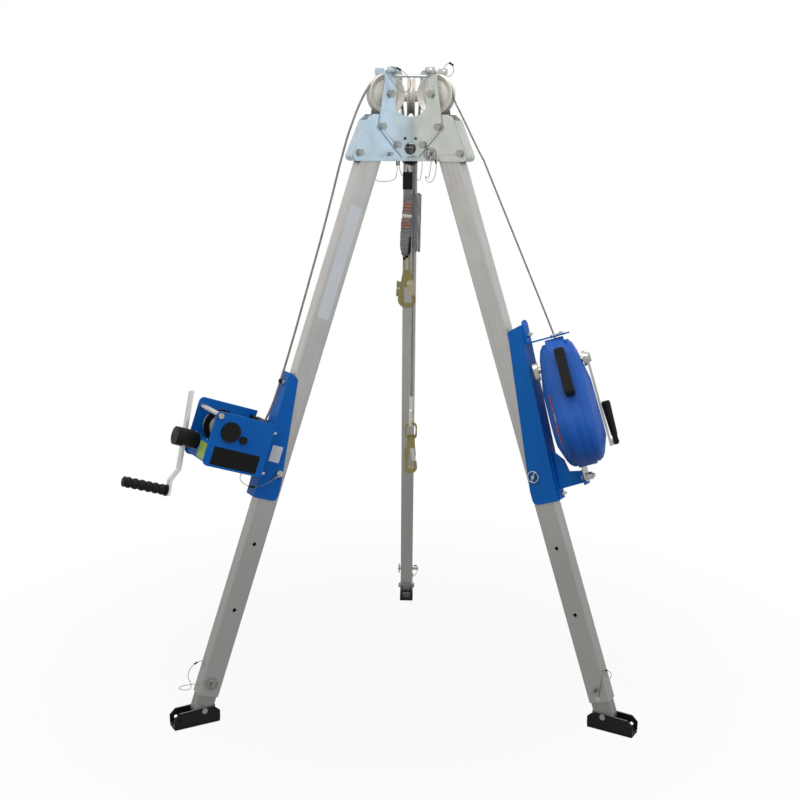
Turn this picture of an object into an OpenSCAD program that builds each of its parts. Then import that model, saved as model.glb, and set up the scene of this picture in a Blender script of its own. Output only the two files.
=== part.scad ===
// Rescue tripod with a hand winch, a retrieval block and a shock-absorbing lanyard.
// Millimetres. The floor is z = 0, +Z is up, and the front faces -Y.
// The origin lies on the floor under the middle of the part's box.
// An arm frame has x outward from the tripod axis, y across the arm and z up.
// A leg frame is the arm frame leaned with the leg: z runs up the leg from the floor.

/* [Tripod] */
// Height of the leg pivot bolts above the floor
pivot_z = 1580; // [1450:5:1750]
// Distance of the leg pivot bolts from the tripod axis
pivot_r = 100; // [97:0.5:110]
// Lean of the opened legs from upright, in degrees
leg_lean = 19; // [16:0.5:22]
// Tripod axis to the right of the middle of the box
axis_x = 42; // [0:1:90]
// Tripod axis behind (or, negative, in front of) the middle of the box
axis_y = -132; // [-180:1:0]

/* [Leg tubes] */
// Depth of the outer tube, in the plane of the lean
tube_depth = 60; // [52:1:64]
// Width of the outer tube, across the arm
tube_width = 40; // [36:1:44]
// Wall of the outer tube
tube_wall = 3; // [2:0.5:4]
// Wall of the inner tube
inner_wall = 3; // [2:0.5:4]
// Corner radius of the outer tube
tube_round = 4; // [3.5:0.5:6]
// Gap between the inner and the outer tube, each side
slide_gap = 0.5; // [0.3:0.1:0.8]
// Lower end of the outer tube, up the leg from the floor
outer_low = 82; // [80:1:90]
// Outer tube above its pivot bolt
outer_over = 20; // [16:1:24]
// Upper end of the inner tube, up the leg from the floor
inner_high = 690; // [600:5:700]
// Height pin, up the leg from the floor
leg_pin_s = 116; // [108:1:130]
// Spacing of the height holes in the inner tube
hole_pitch = 70; // [50:5:80]
// Lower accessory hole, up the leg from the floor
accessory_low_s = 326; // [300:1:350]
// Upper accessory hole, up the leg from the floor
accessory_high_s = 512; // [480:1:560]
// Radius of the accessory holes
accessory_r = 5.5; // [4.5:0.25:7]
// Radius of the height pins, lock pins and bracket pins
pin_r = 5; // [4:0.25:6]

/* [Feet] */
// Height of the foot pivot bolt
foot_pivot_z = 40; // [38:0.5:44]
// Shoe from its pivot to the outer end
shoe_out = 83; // [60:1:95]
// Shoe from its pivot to the inner end
shoe_in = 45; // [38:1:48]
// Height of the shoe's side plates above the floor
shoe_top = 47; // [46:0.5:50]
// Thickness of the shoe's plates
shoe_plate = 4; // [3:0.5:5]
// Thickness of the rubber pad
pad_thick = 7; // [5:0.5:9]
// Radius of the foot pivot bolt
foot_bolt_r = 5; // [4:0.5:6]

/* [Head] */
// Thickness of the head plates
plate = 4; // [3:0.5:5]
// Gap between a leg tube and the head plate on each side
head_gap = 0.5; // [0.4:0.1:1]
// Lower edge of the head below the pivot bolts
head_drop = 89; // [86:1:95]
// Upper edge of the head above the pivot bolts
head_rise = 32; // [28:1:34]
// Outer corner of the head beyond the pivot bolts
head_reach = 84; // [84:1:100]
// Radius of the head's lower outer corner
head_corner = 12; // [8:1:14]
// Slope of the head's outer edge from upright, in degrees
edge_slope = 23.5; // [20:0.5:26]
// Radius of the pivot, stop and plate bolts
bolt_r = 6; // [5:0.5:7]
// Radius of the spacer sleeves on the stop and plate bolts
sleeve_r = 9; // [8.5:0.5:10]
// Radius of the anchor hole in each fold
anchor_r = 15; // [10:0.5:16]
// Height of the anchor holes above the head's lower edge
anchor_up = 33; // [28:1:36]
// Width of each sheave upright
upright_width = 42; // [36:1:46]
// Width of each sheave upright at its top
upright_crown = 30; // [26:1:36]
// Top of the sheave uprights above the pivot bolts
upright_top = 144; // [140:1:160]

/* [Sheaves] */
// Outer radius of each sheave
sheave_r = 53; // [50:0.5:54]
// Width of each sheave's rim
sheave_width = 22; // [16:1:26]
// Depth of the rope groove
groove_depth = 7.5; // [7:0.25:9]
// Sheave axle above the pivot bolts
sheave_rise = 84; // [83:1:88]
// Sheave axle inside the pivot bolts
sheave_inset = 23; // [20:1:26]
// Radius of the sheave axles
axle_r = 6; // [5:0.5:8]

/* [Winch] */
// Half of the winch's width over its side plates
winch_half = 70; // [68:1:76]
// Thickness of the winch's plates
winch_plate = 4; // [3:0.5:5]
// Lower edge of the side plates, up the leg
winch_low = 698; // [690:1:704]
// Upper edge of the side plates, up the leg
winch_high = 842; // [838:1:850]
// Back of the winch frame, out from the leg's middle
winch_back = 64; // [62:0.5:68]
// Front edge of the side plates, out from the leg's middle
winch_front = 233; // [229:1:240]
// Drum axle, up the leg
drum_s = 796; // [792:1:800]
// Drum axle, out from the leg's middle
drum_n = 183; // [178:1:188]
// Radius of the drum's core
drum_core = 28; // [24:0.5:30]
// Radius of the drum's flanges
drum_flange = 45; // [42:0.5:46]
// Pitch radius of the worm wheel
worm_wheel_r = 38; // [36:0.5:40]
// Radius of the worm
worm_r = 11.5; // [10:0.5:13]
// Radius of the crank hub
hub_r = 24; // [20:0.5:26]
// Length of the crank hub
hub_length = 63; // [56:1:70]
// Crank from the hub axis to the grip axis
crank_radius = 144; // [130:1:170]
// Crank bar above the hub axis
crank_tail = 124; // [90:1:140]
// Width of the crank bar
crank_width = 18; // [14:1:22]
// Thickness of the crank bar
crank_thick = 8; // [6:0.5:10]
// Sideways step of the crank bar
crank_step = 18; // [14:1:28]
// Length of the crank grip
grip_length = 120; // [90:1:130]
// Radius of the crank grip
grip_r = 14; // [12:0.5:17]

/* [Retrieval block] */
// Middle of the block, out from the leg's middle
block_n = 146; // [144:1:156]
// Turn of the block about the leg's direction, in degrees
block_turn = 22; // [0:1:25]
// Lowest point of the casing, up the leg
block_low = 712; // [708:1:720]
// Radius of the casing's wide lower end
case_big = 108; // [104:1:112]
// Radius of the casing's narrow upper end
case_small = 50; // [46:1:52]
// Distance between the two ends' centres
case_span = 185; // [180:1:186]
// Half of the rim's width
case_rim = 24; // [22:1:28]
// Half of the casing's full thickness
case_half = 64; // [60:1:66]
// Wall of the casing
case_wall = 4; // [3:0.5:5]
// Module of the block's gears, which sets the drum axle's distance below the crank shaft
gear_module = 3; // [2.8:0.05:3.1]
// Crank from its shaft to the grip's hinge
block_crank = 229; // [200:1:235]
// Length of the folding grip
block_grip_length = 92; // [70:1:110]
// Length of the carrying handle
handle_length = 126; // [110:1:126]
// Handle's middle above the middle of the casing's slanted edge
handle_up = 27; // [10:1:27]

/* [Lanyard and ropes] */
// Diameter of the winch rope
winch_rope_d = 6; // [4:0.25:6]
// Diameter of the block rope
block_rope_d = 4.8; // [3:0.2:5]
// Turns of rope on the winch drum
winding_turns = 7; // [3:1:7]
// Length of the absorber pack
pack_length = 166; // [140:1:180]
// Width of the absorber pack
pack_width = 29; // [24:1:30]
// Depth of the absorber pack, front to back
pack_depth = 28; // [20:1:30]
// Folds in the spare webbing
webbing_folds = 3; // [2:1:4]
// Thickness of the webbing
webbing_thick = 3; // [2:0.25:3.5]

/* [Hidden] */
$fn = 48;

// Colours
alloy = "silver";
zinc = "gainsboro";
steel = "lightsteelblue";
blue = "royalblue";
black = "#202020";
rubber = "#181818";
yellow_zinc = "#b9a23c";
cream = "#d8d0bc";
strap_grey = "#6b6a70";
rope_grey = "#8a8783";

// Fits
run_gap = 0.06;      // running fit of a pin or shaft in its bore
touch_gap = 0.3;     // rest gap between faces of two bodies
seat_gap = 0.05;     // under a bolt head or nut
eps = 1;             // overshoot of a cut

// Directions of the three legs seen from above
left_az = 210;
right_az = 330;
rear_az = 90;
arms = [left_az, right_az, rear_az];
sector = 60;         // from an arm to the fold beside it

// Legs
foot_r = pivot_r + pivot_z * tan(leg_lean);
pivot_s = pivot_z / cos(leg_lean);
outer_high = pivot_s + outer_over;
half_depth = tube_depth / 2;
half_width = tube_width / 2;
inner_depth = tube_depth - 2 * (tube_wall + slide_gap);
inner_width = tube_width - 2 * (tube_wall + slide_gap);
inner_round = tube_round - tube_wall / 2;
foot_pivot_s = foot_pivot_z / cos(leg_lean);
foot_pivot_x = foot_r - foot_pivot_z * tan(leg_lean);
height_holes = 6;    // steps of the inner tube
bracket_pin_s = 714; // pin that holds a bracket to its leg
bracket_pin_n = -5;

// Head
plate_in = half_width + head_gap;
plate_out = plate_in + plate;
layer_out = plate_out + plate;
head_low = pivot_z - head_drop;
head_top = pivot_z + head_rise;
fold_top = head_top - 5;
shoulder_z = pivot_z + 17;
shoulder_run = 18;
corner_x = pivot_r + head_reach - head_corner;
corner_z = head_low + head_corner;
stop_down = 85;      // stop bolt below the pivot, along the leg
stop_n = half_depth + sleeve_r + touch_gap;
stop_x = pivot_r + stop_down * sin(leg_lean) + stop_n * cos(leg_lean);
stop_z = pivot_z - stop_down * cos(leg_lean) + stop_n * sin(leg_lean);
inner_bolt_x = pivot_r - 45;
inner_bolt_z = pivot_z - 46;
lock_x = pivot_r - 25;
lock_z = pivot_z - 70;
small_hole_x = pivot_r - 68;
small_hole_z = pivot_z - 30;
small_hole_r = 4;
sheave_x = pivot_r - sheave_inset;
sheave_z = pivot_z + sheave_rise;
upright_x = sheave_x - upright_width / 2 + 6;
upright_z = pivot_z + upright_top;
lip_r = 9;
lip_inset = 4;       // rolled lip short of the upright's sides
tie_r = 4;
tie_z = upright_z - 14;
tie_x = upright_x + 8;
guide_r = plate_in / sin(sector) - 0.3;

// Winch, in the left leg's frame
winch_in = winch_half - winch_plate;
crank_s = drum_s - worm_wheel_r - worm_r - 2.4;
crank_t = -20;
front_plate_n = winch_front - 11;
hub_n = front_plate_n + winch_plate + 1;
bar_n = hub_n + 37;
shaft_end = bar_n - crank_thick / 2 - 3;
crank_tilt = 19;     // lean of the crank bar, degrees
drum_low_t = crank_t + worm_r + 1;
drum_high_t = winch_in - 4;
drum_cheek = 4;
winding_gap = 0.25;
winding_r = drum_core + winch_rope_d / 2 + winding_gap;
winding_pitch = winch_rope_d + 0.7;
winding_start = drum_high_t - drum_cheek - winch_rope_d;
roller_s = 834;
roller_n = 77;
roller_r = 7;
corner_n = winch_front - 11;
corner_s = winch_high - 11;
rod_r = min(6.5, norm([corner_n - drum_n, corner_s - drum_s]) - drum_flange - 0.8);
far_rise = 12;       // far side plate above the near one

// Block, in its own frame: x through the casing, y across it, z up the leg
big_s = block_low + case_big;
small_s = big_s + case_span;
pinion_teeth = 14;
ring_teeth = 48;
gear_distance = gear_module * (pinion_teeth + ring_teeth) / 2;
shaft_s = small_s - 21;
drum_axle_s = shaft_s - gear_distance;
block_shaft_r = 8;
guide_s = small_s + case_small + 5;

// Hanging points below the head, from the tripod axis
winch_hang = [-6, -6];
block_hang = [11, 14];
sleeve_top = head_low - 29;
sleeve_length = 46;
pack_top = sleeve_top - sleeve_length;
pack_low = pack_top - pack_length;
ferrule_z = 837;
ferrule_length = 36;
eye_z = 742;

// Routes of the ropes: [outward, across, up]. Those on a leg are in its frame.
winch_leg_route = [[182, 0, 831.5], [160, 0, 829.5], [130, 0, 827], [100, 0, 825], [84, 0, 823.7],
    [76, 0, 823.6], [70, 0, 826.5], [67, 0, 832], [66, 0, 840], [63.5, 0, 855], [60, 0, 880], [58, 0, 910],
    [57, 0, 960], [57, 0, 1020], [58, 0, 1100], [60, 0, 1180], [62, 0, 1260], [64, 0, 1340],
    [67, 0, 1410], [70, 0, 1470], [73, 0, 1520], [74.5, 0, 1550]];
winch_climb_route = [[205, 0, 1505], [197, 0, 1531], [188, 0, 1558], [177, 0, 1586],
    [167, 0, 1610], [155, 0, 1636], [142, 0, 1660], [131, 0, 1677]];
winch_drop_route = [[27.5, 0, 1655], [24.5, 0.2, 1625], [18, 0.9, 1585], [11.5, 1.7, 1550], [8.2, 2.2, 1520],
    [8.2, 2.2, 1470], [8.2, 2.2, 1438]];
block_leg_route = [[149.5, 0, 1052], [148.2, 0, 1070], [140, 0, 1140], [130, 0, 1220], [120, 0, 1300],
    [110, 0, 1380], [100, 0, 1460], [90, 0, 1540], [88.5, 0, 1552]];
block_climb_route = [[206, 0, 1522], [180, 0, 1567], [154, 0, 1612], [133, 0, 1648]];
block_drop_route = [[27.5, 0, 1655], [25, 2, 1630], [20, 6.5, 1600], [11, 12.8, 1565], [5, 16.3, 1540],
    [2.5, 17.6, 1518], [2.5, 17.6, 1470], [2.5, 17.6, 1380], [2.5, 17.6, 1260], [2.5, 17.6, 1140], [2.5, 17.6, 1020],
    [2.5, 17.6, 900], [2.5, 17.6, 815]];
join_gap = 0.6;      // between the two halves of a rope
function leg_to_arm(p) = [foot_r - p[2] * sin(leg_lean) + p[0] * cos(leg_lean), p[1],
    p[2] * cos(leg_lean) + p[0] * sin(leg_lean)];

// Places of the tripod axis, an arm and a leg
module on_axis() { translate([axis_x, axis_y, 0]) children(); }
module arm(az) { on_axis() rotate([0, 0, az]) children(); }
module leg(az) { arm(az) translate([foot_r, 0, 0]) rotate([0, -leg_lean, 0]) children(); }
module block() { leg(right_az) translate([block_n, 0, 0]) rotate([0, 0, block_turn]) children(); }
module lanyard() { on_axis() translate([winch_hang[0], winch_hang[1], 0]) children(); }
module swivel() { on_axis() translate([block_hang[0], block_hang[1], 0]) children(); }

// An outline in x and z, given thickness along y from t0 to t1
module slab(t0, t1) { translate([0, t1, 0]) rotate([90, 0, 0]) linear_extrude(t1 - t0) children(); }
// An outline in y and z, given thickness along x from x0 to x1
module sheet(x0, x1) { translate([x0, 0, 0]) rotate([90, 0, 90]) linear_extrude(x1 - x0) children(); }
module bar_y(x, z, r, t0, t1) { translate([x, t1, z]) rotate([90, 0, 0]) cylinder(r = r, h = t1 - t0); }
module bar_x(y, z, r, x0, x1) { translate([x0, y, z]) rotate([0, 90, 0]) cylinder(r = r, h = x1 - x0); }
module hex_y(x, z, r, t0, t1) { translate([x, t1, z]) rotate([90, 0, 0]) cylinder(r = r, h = t1 - t0, $fn = 6); }
module hex_x(y, z, r, x0, x1) { translate([x0, y, z]) rotate([0, 90, 0]) cylinder(r = r, h = x1 - x0, $fn = 6); }
module torus(big, small) { rotate_extrude() translate([big, 0]) circle(small); }

// A rectangle with round corners, centred
module round_rect(w, h, r) {
    square([w - 2 * r, h], center = true);
    square([w, h - 2 * r], center = true);
    for (i = [-1, 1], j = [-1, 1]) translate([i * (w / 2 - r), j * (h / 2 - r)]) circle(r);
}

// A round tube along a list of points; ref is never along the route
function unit(v) = v / norm(v);
// An outline's corners made round, each over its own reach; a reach of 0 leaves it sharp
function bend(a, b, c, d) = d == 0 ? [b] : let (u = unit(a - b), v = unit(c - b))
    [for (i = [0 : 5]) let (f = i / 5) (1 - f) * (1 - f) * (b + d * u) + 2 * f * (1 - f) * b + f * f * (b + d * v)];
function rounded(points, reach) = let (n = len(points))
    [for (i = [0 : n - 1]) each bend(points[(i + n - 1) % n], points[i], points[(i + 1) % n], reach[i])];
function heading(p, i) = unit(p[min(i + 1, len(p) - 1)] - p[max(i - 1, 0)]);
function ring(p, i, r, sides, ref) =
    let (d = heading(p, i), u = unit(cross(d, ref)), w = cross(d, u))
    [for (k = [0 : sides - 1]) p[i] + r * (cos(360 * k / sides) * u + sin(360 * k / sides) * w)];
module tube(p, r, sides, ref) {
    last = (len(p) - 1) * sides;
    polyhedron([for (i = [0 : len(p) - 1]) each ring(p, i, r, sides, ref)], concat(
        [for (k = [1 : sides - 2]) [0, k, k + 1]],
        [for (i = [0 : len(p) - 2], k = [0 : sides - 1])
            let (a = i * sides + k, b = i * sides + (k + 1) % sides)
            each [[a, a + sides, b + sides], [a, b + sides, b]]],
        [for (k = [1 : sides - 2]) [last, last + k + 1, last + k]]));
}
// Points of an arc in the x z plane
function arc(x, z, r, a0, a1, steps) =
    [for (i = [0 : steps]) let (a = a0 + (a1 - a0) * i / steps) [x + r * cos(a), 0, z + r * sin(a)]];

// A bolt along y through two faces, with a hex head on one and a nut and tip on the other
module through_bolt(x, z, r, t_face) {
    bar_y(x, z, r, -t_face - 0.9 * r, t_face + 1.4 * r);
    hex_y(x, z, 1.75 * r, -t_face - 1.2 * r, -t_face - seat_gap);
    hex_y(x, z, 1.75 * r, t_face + seat_gap, t_face + 1.1 * r);
}

// Outline of one wing of a head plate, in the arm's x and z
function edge_point(r) = [corner_x + r * cos(edge_slope), corner_z + r * sin(edge_slope)];
function edge_end(r, z) = let (p = edge_point(r)) [p[0] - (z - p[1]) * tan(edge_slope), z];
module wing_outline() {
    translate([corner_x, corner_z]) circle(head_corner);
    polygon([[0, head_low], [corner_x, head_low], edge_point(head_corner),
        edge_end(head_corner, shoulder_z), [edge_end(head_corner, shoulder_z)[0] - shoulder_run, head_top],
        [40, head_top], [22, fold_top], [0, fold_top]]);
}
// The strip that closes an arm along the wing's outer edge
module edge_strip() {
    difference() {
        union() {
            translate([corner_x, corner_z]) circle(head_corner);
            polygon([[corner_x, corner_z], edge_point(head_corner), edge_end(head_corner, shoulder_z),
                edge_end(-plate, shoulder_z)]);
        }
        translate([corner_x, corner_z]) circle(head_corner - plate);
        polygon([[corner_x, corner_z], edge_point(head_corner - plate),
            edge_end(head_corner - plate, shoulder_z + eps), edge_end(-head_reach, shoulder_z + eps),
            [pivot_r, corner_z]]);
        translate([pivot_r, head_low - eps]) square([corner_x - pivot_r, head_corner + eps]);
    }
}
// Plan of a plate bent to a V across one sector, whose middle runs along x
function wing_point(x, t) = [x * cos(sector) + t * sin(sector), x * sin(sector) - t * cos(sector)];
function flip(p) = [p[0], -p[1]];
module v_plan(t0, t1, reach) {
    polygon([[t0 / sin(sector), 0], wing_point(reach, t0), wing_point(reach, t1),
        [t1 / sin(sector), 0], flip(wing_point(reach, t1)), flip(wing_point(reach, t0))]);
}
// Both wings of one V plate, from the outline of a wing
module v_plate(t0, t1) {
    intersection() {
        translate([0, 0, head_low - eps])
            linear_extrude(upright_z - head_low + 2 * eps)
            v_plan(t0, t1, pivot_r + head_reach + eps);
        union() for (side = [-1, 1]) rotate([0, 0, side * sector])
            slab(side > 0 ? -t1 - eps : t0 - eps, side > 0 ? eps - t0 : t1 + eps) children();
    }
}
module each_sector() { for (az = arms) arm(az + sector) children(); }
module anchor_hole() { bar_x(0, head_low + anchor_up, anchor_r, 0, 3 * plate_out); }
module wing_holes(points, r) {
    for (side = [-1, 1]) rotate([0, 0, side * sector])
        for (p = points) bar_y(p[0], p[1], r, -3 * plate_out, 3 * plate_out);
}

module head_plates() {
    color(zinc) each_sector() difference() {
        union() {
            v_plate(plate_in, plate_out) wing_outline();
            for (side = [-1, 1]) rotate([0, 0, side * sector])
                slab(side > 0 ? -plate_in - plate / 2 : touch_gap, side > 0 ? -touch_gap : plate_in + plate / 2)
                edge_strip();
        }
        anchor_hole();
        wing_holes([[pivot_r, pivot_z], [stop_x, stop_z], [inner_bolt_x, inner_bolt_z]], bolt_r + run_gap);
        wing_holes([[lock_x, lock_z]], pin_r + run_gap);
        wing_holes([[small_hole_x, small_hole_z]], small_hole_r);
    }
}

module upright_outline() {
    polygon([[0, head_low + 10], [40, head_low + 10], [upright_x, head_low + 32],
        [pivot_r + 10, pivot_z - 5], [pivot_r + 10, pivot_z + 12],
        [upright_x + upright_crown, upright_z], [upright_x, upright_z],
        [upright_x, head_top + 16], [upright_x - 16, head_top], [22, fold_top], [0, fold_top]]);
}
module sheave_plates() {
    color(zinc) each_sector() {
        difference() {
            union() {
                v_plate(plate_out, layer_out) upright_outline();
                for (side = [-1, 1]) rotate([0, 0, side * sector])
                    bar_x(-side * (layer_out + lip_r - 3), upright_z, lip_r,
                        upright_x + lip_inset, upright_x + upright_crown - lip_inset);
            }
            anchor_hole();
            wing_holes([[pivot_r, pivot_z], [inner_bolt_x, inner_bolt_z]], bolt_r + run_gap);
            wing_holes([[sheave_x, sheave_z]], axle_r + run_gap);
            wing_holes([[small_hole_x, small_hole_z]], small_hole_r);
        }
    }
}

// Sleeves that keep the plates apart, and the tie rods between the uprights
module head_spacers() {
    color(zinc) for (az = arms) {
        for (p = [[stop_x, stop_z], [inner_bolt_x, inner_bolt_z]]) arm(az) difference() {
            bar_y(p[0], p[1], sleeve_r, -plate_in, plate_in);
            bar_y(p[0], p[1], bolt_r + run_gap, -plate_in - eps, plate_in + eps);
        }
        arm(az + sector) difference() {
            translate([wing_point(tie_x, layer_out)[0], -2 * pivot_r, tie_z])
                rotate([-90, 0, 0]) cylinder(r = tie_r, h = 4 * pivot_r);
            for (side = [-1, 1]) rotate([0, 0, side * sector])
                translate([-pivot_r, side > 0 ? -layer_out : -4 * pivot_r + layer_out, tie_z - 4 * tie_r])
                cube([4 * pivot_r, 4 * pivot_r, 8 * tie_r]);
        }
    }
}

module head_bolts() {
    color(steel) for (az = arms) arm(az) {
        through_bolt(pivot_r, pivot_z, bolt_r, layer_out);
        through_bolt(inner_bolt_x, inner_bolt_z, bolt_r, layer_out);
        through_bolt(stop_x, stop_z, bolt_r, plate_out);
    }
}
module sheave_axles() {
    color(steel) for (az = arms) arm(az) through_bolt(sheave_x, sheave_z, axle_r, layer_out);
}

module sheave(az) {
    hub = plate_out - touch_gap;
    floor_r = sheave_r - groove_depth;
    half = sheave_width / 2;
    lip = 3;
    color(cream) arm(az) translate([sheave_x, 0, sheave_z]) rotate([90, 0, 0]) rotate_extrude()
        polygon([[axle_r + run_gap, -hub], [axle_r + 7, -hub], [axle_r + 9, -half], [floor_r - 8, 6 - half],
            [sheave_r - 2, -half], [sheave_r, 1.5 - half], [sheave_r, lip - half], [floor_r, -lip],
            [floor_r, lip], [sheave_r, half - lip], [sheave_r, half - 1.5], [sheave_r - 2, half],
            [floor_r - 8, half - 6], [axle_r + 9, half], [axle_r + 7, hub], [axle_r + run_gap, hub]]);
}
module sheave_left() { sheave(left_az); }
module sheave_right() { sheave(right_az); }
module sheave_rear() { sheave(rear_az); }

// Funnel in the middle of the head that the ropes hang through
module rope_guide() {
    dome_r = guide_r - 2;
    color(black) on_axis() difference() {
        union() {
            translate([0, 0, head_low]) cylinder(r = guide_r, h = 14);
            translate([0, 0, head_low]) rotate_extrude()
                polygon([[0, 0], [dome_r, 0], [dome_r - 2, -5], [dome_r - 10, -10], [0, -13]]);
        }
        translate([winch_hang[0], winch_hang[1], head_low - 20]) cylinder(r = 4.5, h = 60);
        translate([block_hang[0], block_hang[1], head_low - 20]) cylinder(r = 4, h = 60);
    }
}

// A pin across the arm with a cross bar and a pull ring at its end, side 1 or -1
module ring_pin(x, z, reach_ring, reach_tip, side) {
    ring_big = 15;
    ring_wire = 1.6;
    ring_t = side * (reach_ring - 3);
    bar_y(x, z, pin_r, side > 0 ? -reach_tip : -reach_ring, side > 0 ? reach_ring : reach_tip);
    translate([x, ring_t, z]) rotate([90, 0, 0]) torus(ring_big, ring_wire);
    translate([x, ring_t, z]) rotate([0, 35, 0]) cylinder(r = 1.9, h = 2 * ring_big, center = true);
}
module lock_pin(az) { color(steel) arm(az) ring_pin(lock_x, lock_z, plate_out + 9, plate_out + 9, -1); }
module lock_pin_left() { lock_pin(left_az); }
module lock_pin_right() { lock_pin(right_az); }
module lock_pin_rear() { lock_pin(rear_az); }

module tube_outline(d, w, r, wall) {
    difference() {
        round_rect(d, w, r);
        round_rect(d - 2 * wall, w - 2 * wall, max(r - wall, 0.5));
    }
}
module outer_leg(az) {
    color(alloy) leg(az) difference() {
        translate([0, 0, outer_low]) linear_extrude(outer_high - outer_low)
            tube_outline(tube_depth, tube_width, tube_round, tube_wall);
        bar_y(0, pivot_s, bolt_r + run_gap, -tube_width, tube_width);
        bar_y(0, leg_pin_s, pin_r + run_gap, -tube_width, tube_width);
        bar_y(bracket_pin_n, bracket_pin_s, pin_r + run_gap, -tube_width, tube_width);
        for (s = [accessory_low_s, accessory_high_s]) bar_y(0, s, accessory_r, -tube_width, tube_width);
    }
}
module outer_leg_left() { outer_leg(left_az); }
module outer_leg_right() { outer_leg(right_az); }
module outer_leg_rear() { outer_leg(rear_az); }

module inner_leg(az) {
    color(alloy) leg(az) difference() {
        intersection() {
            translate([0, 0, foot_pivot_s - tube_depth]) linear_extrude(inner_high - foot_pivot_s + tube_depth)
                tube_outline(inner_depth, inner_width, inner_round, inner_wall);
            slab(-tube_width, tube_width) {
                translate([0, foot_pivot_s]) circle(inner_depth / 2);
                translate([-tube_depth, foot_pivot_s]) square([2 * tube_depth, inner_high]);
            }
        }
        bar_y(0, foot_pivot_s, foot_bolt_r + run_gap, -tube_width, tube_width);
        for (k = [0 : height_holes]) bar_y(0, leg_pin_s + k * hole_pitch, pin_r + run_gap, -tube_width, tube_width);
        for (s = [accessory_low_s, accessory_high_s]) bar_y(0, s, accessory_r, -tube_width, tube_width);
    }
}
module inner_leg_left() { inner_leg(left_az); }
module inner_leg_right() { inner_leg(right_az); }
module inner_leg_rear() { inner_leg(rear_az); }

module leg_pin(az) { color(steel) leg(az) ring_pin(0, leg_pin_s, half_width + 9, half_width + 20, 1); }
module leg_pin_left() { leg_pin(left_az); }
module leg_pin_right() { leg_pin(right_az); }
module leg_pin_rear() { leg_pin(rear_az); }

// Channel shoe with its pivot bolt
module foot_shoe(az) {
    in_t = inner_width / 2 + slide_gap;
    out_t = in_t + shoe_plate;
    eye_x = shoe_out - 16;
    eye_z = 21.5;
    arm(az) translate([foot_pivot_x, 0, 0]) {
        color(black) difference() {
            slab(-out_t, out_t) polygon([[-shoe_in, pad_thick], [shoe_out, pad_thick],
                [shoe_out, shoe_top - 17], [shoe_out - 16, shoe_top - 2], [18 - shoe_in, shoe_top],
                [-shoe_in, shoe_top - 16]]);
            translate([-shoe_in - eps, -in_t, pad_thick + shoe_plate])
                cube([shoe_in + shoe_out + 2 * eps, 2 * in_t, shoe_top]);
            bar_y(0, foot_pivot_z, foot_bolt_r + run_gap, -2 * out_t, 2 * out_t);
            bar_y(eye_x, eye_z, 5, -2 * out_t, 2 * out_t);
        }
        color(steel) through_bolt(0, foot_pivot_z, foot_bolt_r, out_t);
    }
}
module foot_shoe_left() { foot_shoe(left_az); }
module foot_shoe_right() { foot_shoe(right_az); }
module foot_shoe_rear() { foot_shoe(rear_az); }

module foot_pad(az) {
    out_t = inner_width / 2 + slide_gap + shoe_plate;
    length = shoe_in + shoe_out;
    color(rubber) arm(az) translate([foot_pivot_x + (shoe_out - shoe_in) / 2, 0, 0])
        linear_extrude(pad_thick) round_rect(length, 2 * out_t + 2, 4);
}
module foot_pad_left() { foot_pad(left_az); }
module foot_pad_right() { foot_pad(right_az); }
module foot_pad_rear() { foot_pad(rear_az); }

// A tapered channel round a leg, leaned outward, with a bar that bears on the leg
module channel(outline_low, outline_high, edge_low, edge_high, face_low, face_high) {
    flange_in = half_width + head_gap;
    flange_out = flange_in + plate;
    bear_s = outline_high - 30;
    bear_r = 6;
    difference() {
        union() {
            for (side = [-1, 1])
                slab(side > 0 ? flange_in : -flange_out, side > 0 ? flange_out : -flange_in)
                polygon(rounded([[edge_low, outline_low], [face_low, outline_low], [face_high, outline_high],
                    [edge_high, outline_high - 8], [edge_low, outline_low + 40]], [16, 0, 0, 10, 10]));
            slab(-flange_out, flange_out) polygon([[face_low - plate, outline_low], [face_low, outline_low],
                [face_high, outline_high], [face_high - plate, outline_high]]);
            bar_y(half_depth + touch_gap + bear_r, bear_s, bear_r, -flange_out + 1, flange_out - 1);
        }
        bar_y(bracket_pin_n, bracket_pin_s, pin_r + run_gap, -tube_width, tube_width);
    }
}
bracket_low = 637;
winch_face_low = half_depth + 16;
winch_face_high = half_depth + 19;
winch_bracket_high = 980;
mount_half = winch_half - 8;
winch_bolts = [for (s = [winch_low + 10, winch_high - 24], t = [-1, 1]) [t * (mount_half - 14), s]];
module rope_notch() {
    translate([winch_back - plate - eps, -8, roller_s - 16]) cube([plate + winch_plate + 2 * eps, 16, 60]);
}
module winch_bracket() {
    color(blue) leg(left_az) difference() {
        union() {
            channel(bracket_low, winch_bracket_high, -23, 20, winch_face_low, winch_face_high);
            sheet(winch_back - plate, winch_back)
                translate([0, (winch_low + winch_high) / 2])
                round_rect(2 * mount_half, winch_high - winch_low - 4, 8);
            for (t = [-half_width, half_width]) slab(t - 2, t + 2)
                polygon([[winch_face_low, winch_low + 2], [winch_back - 1, winch_low + 2],
                    [winch_back - 1, winch_high - 2], [winch_face_low, winch_high - 2]]);
        }
        for (p = winch_bolts) bar_x(p[0], p[1], 4 + run_gap, 0, winch_back + eps);
        rope_notch();
    }
}

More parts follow.
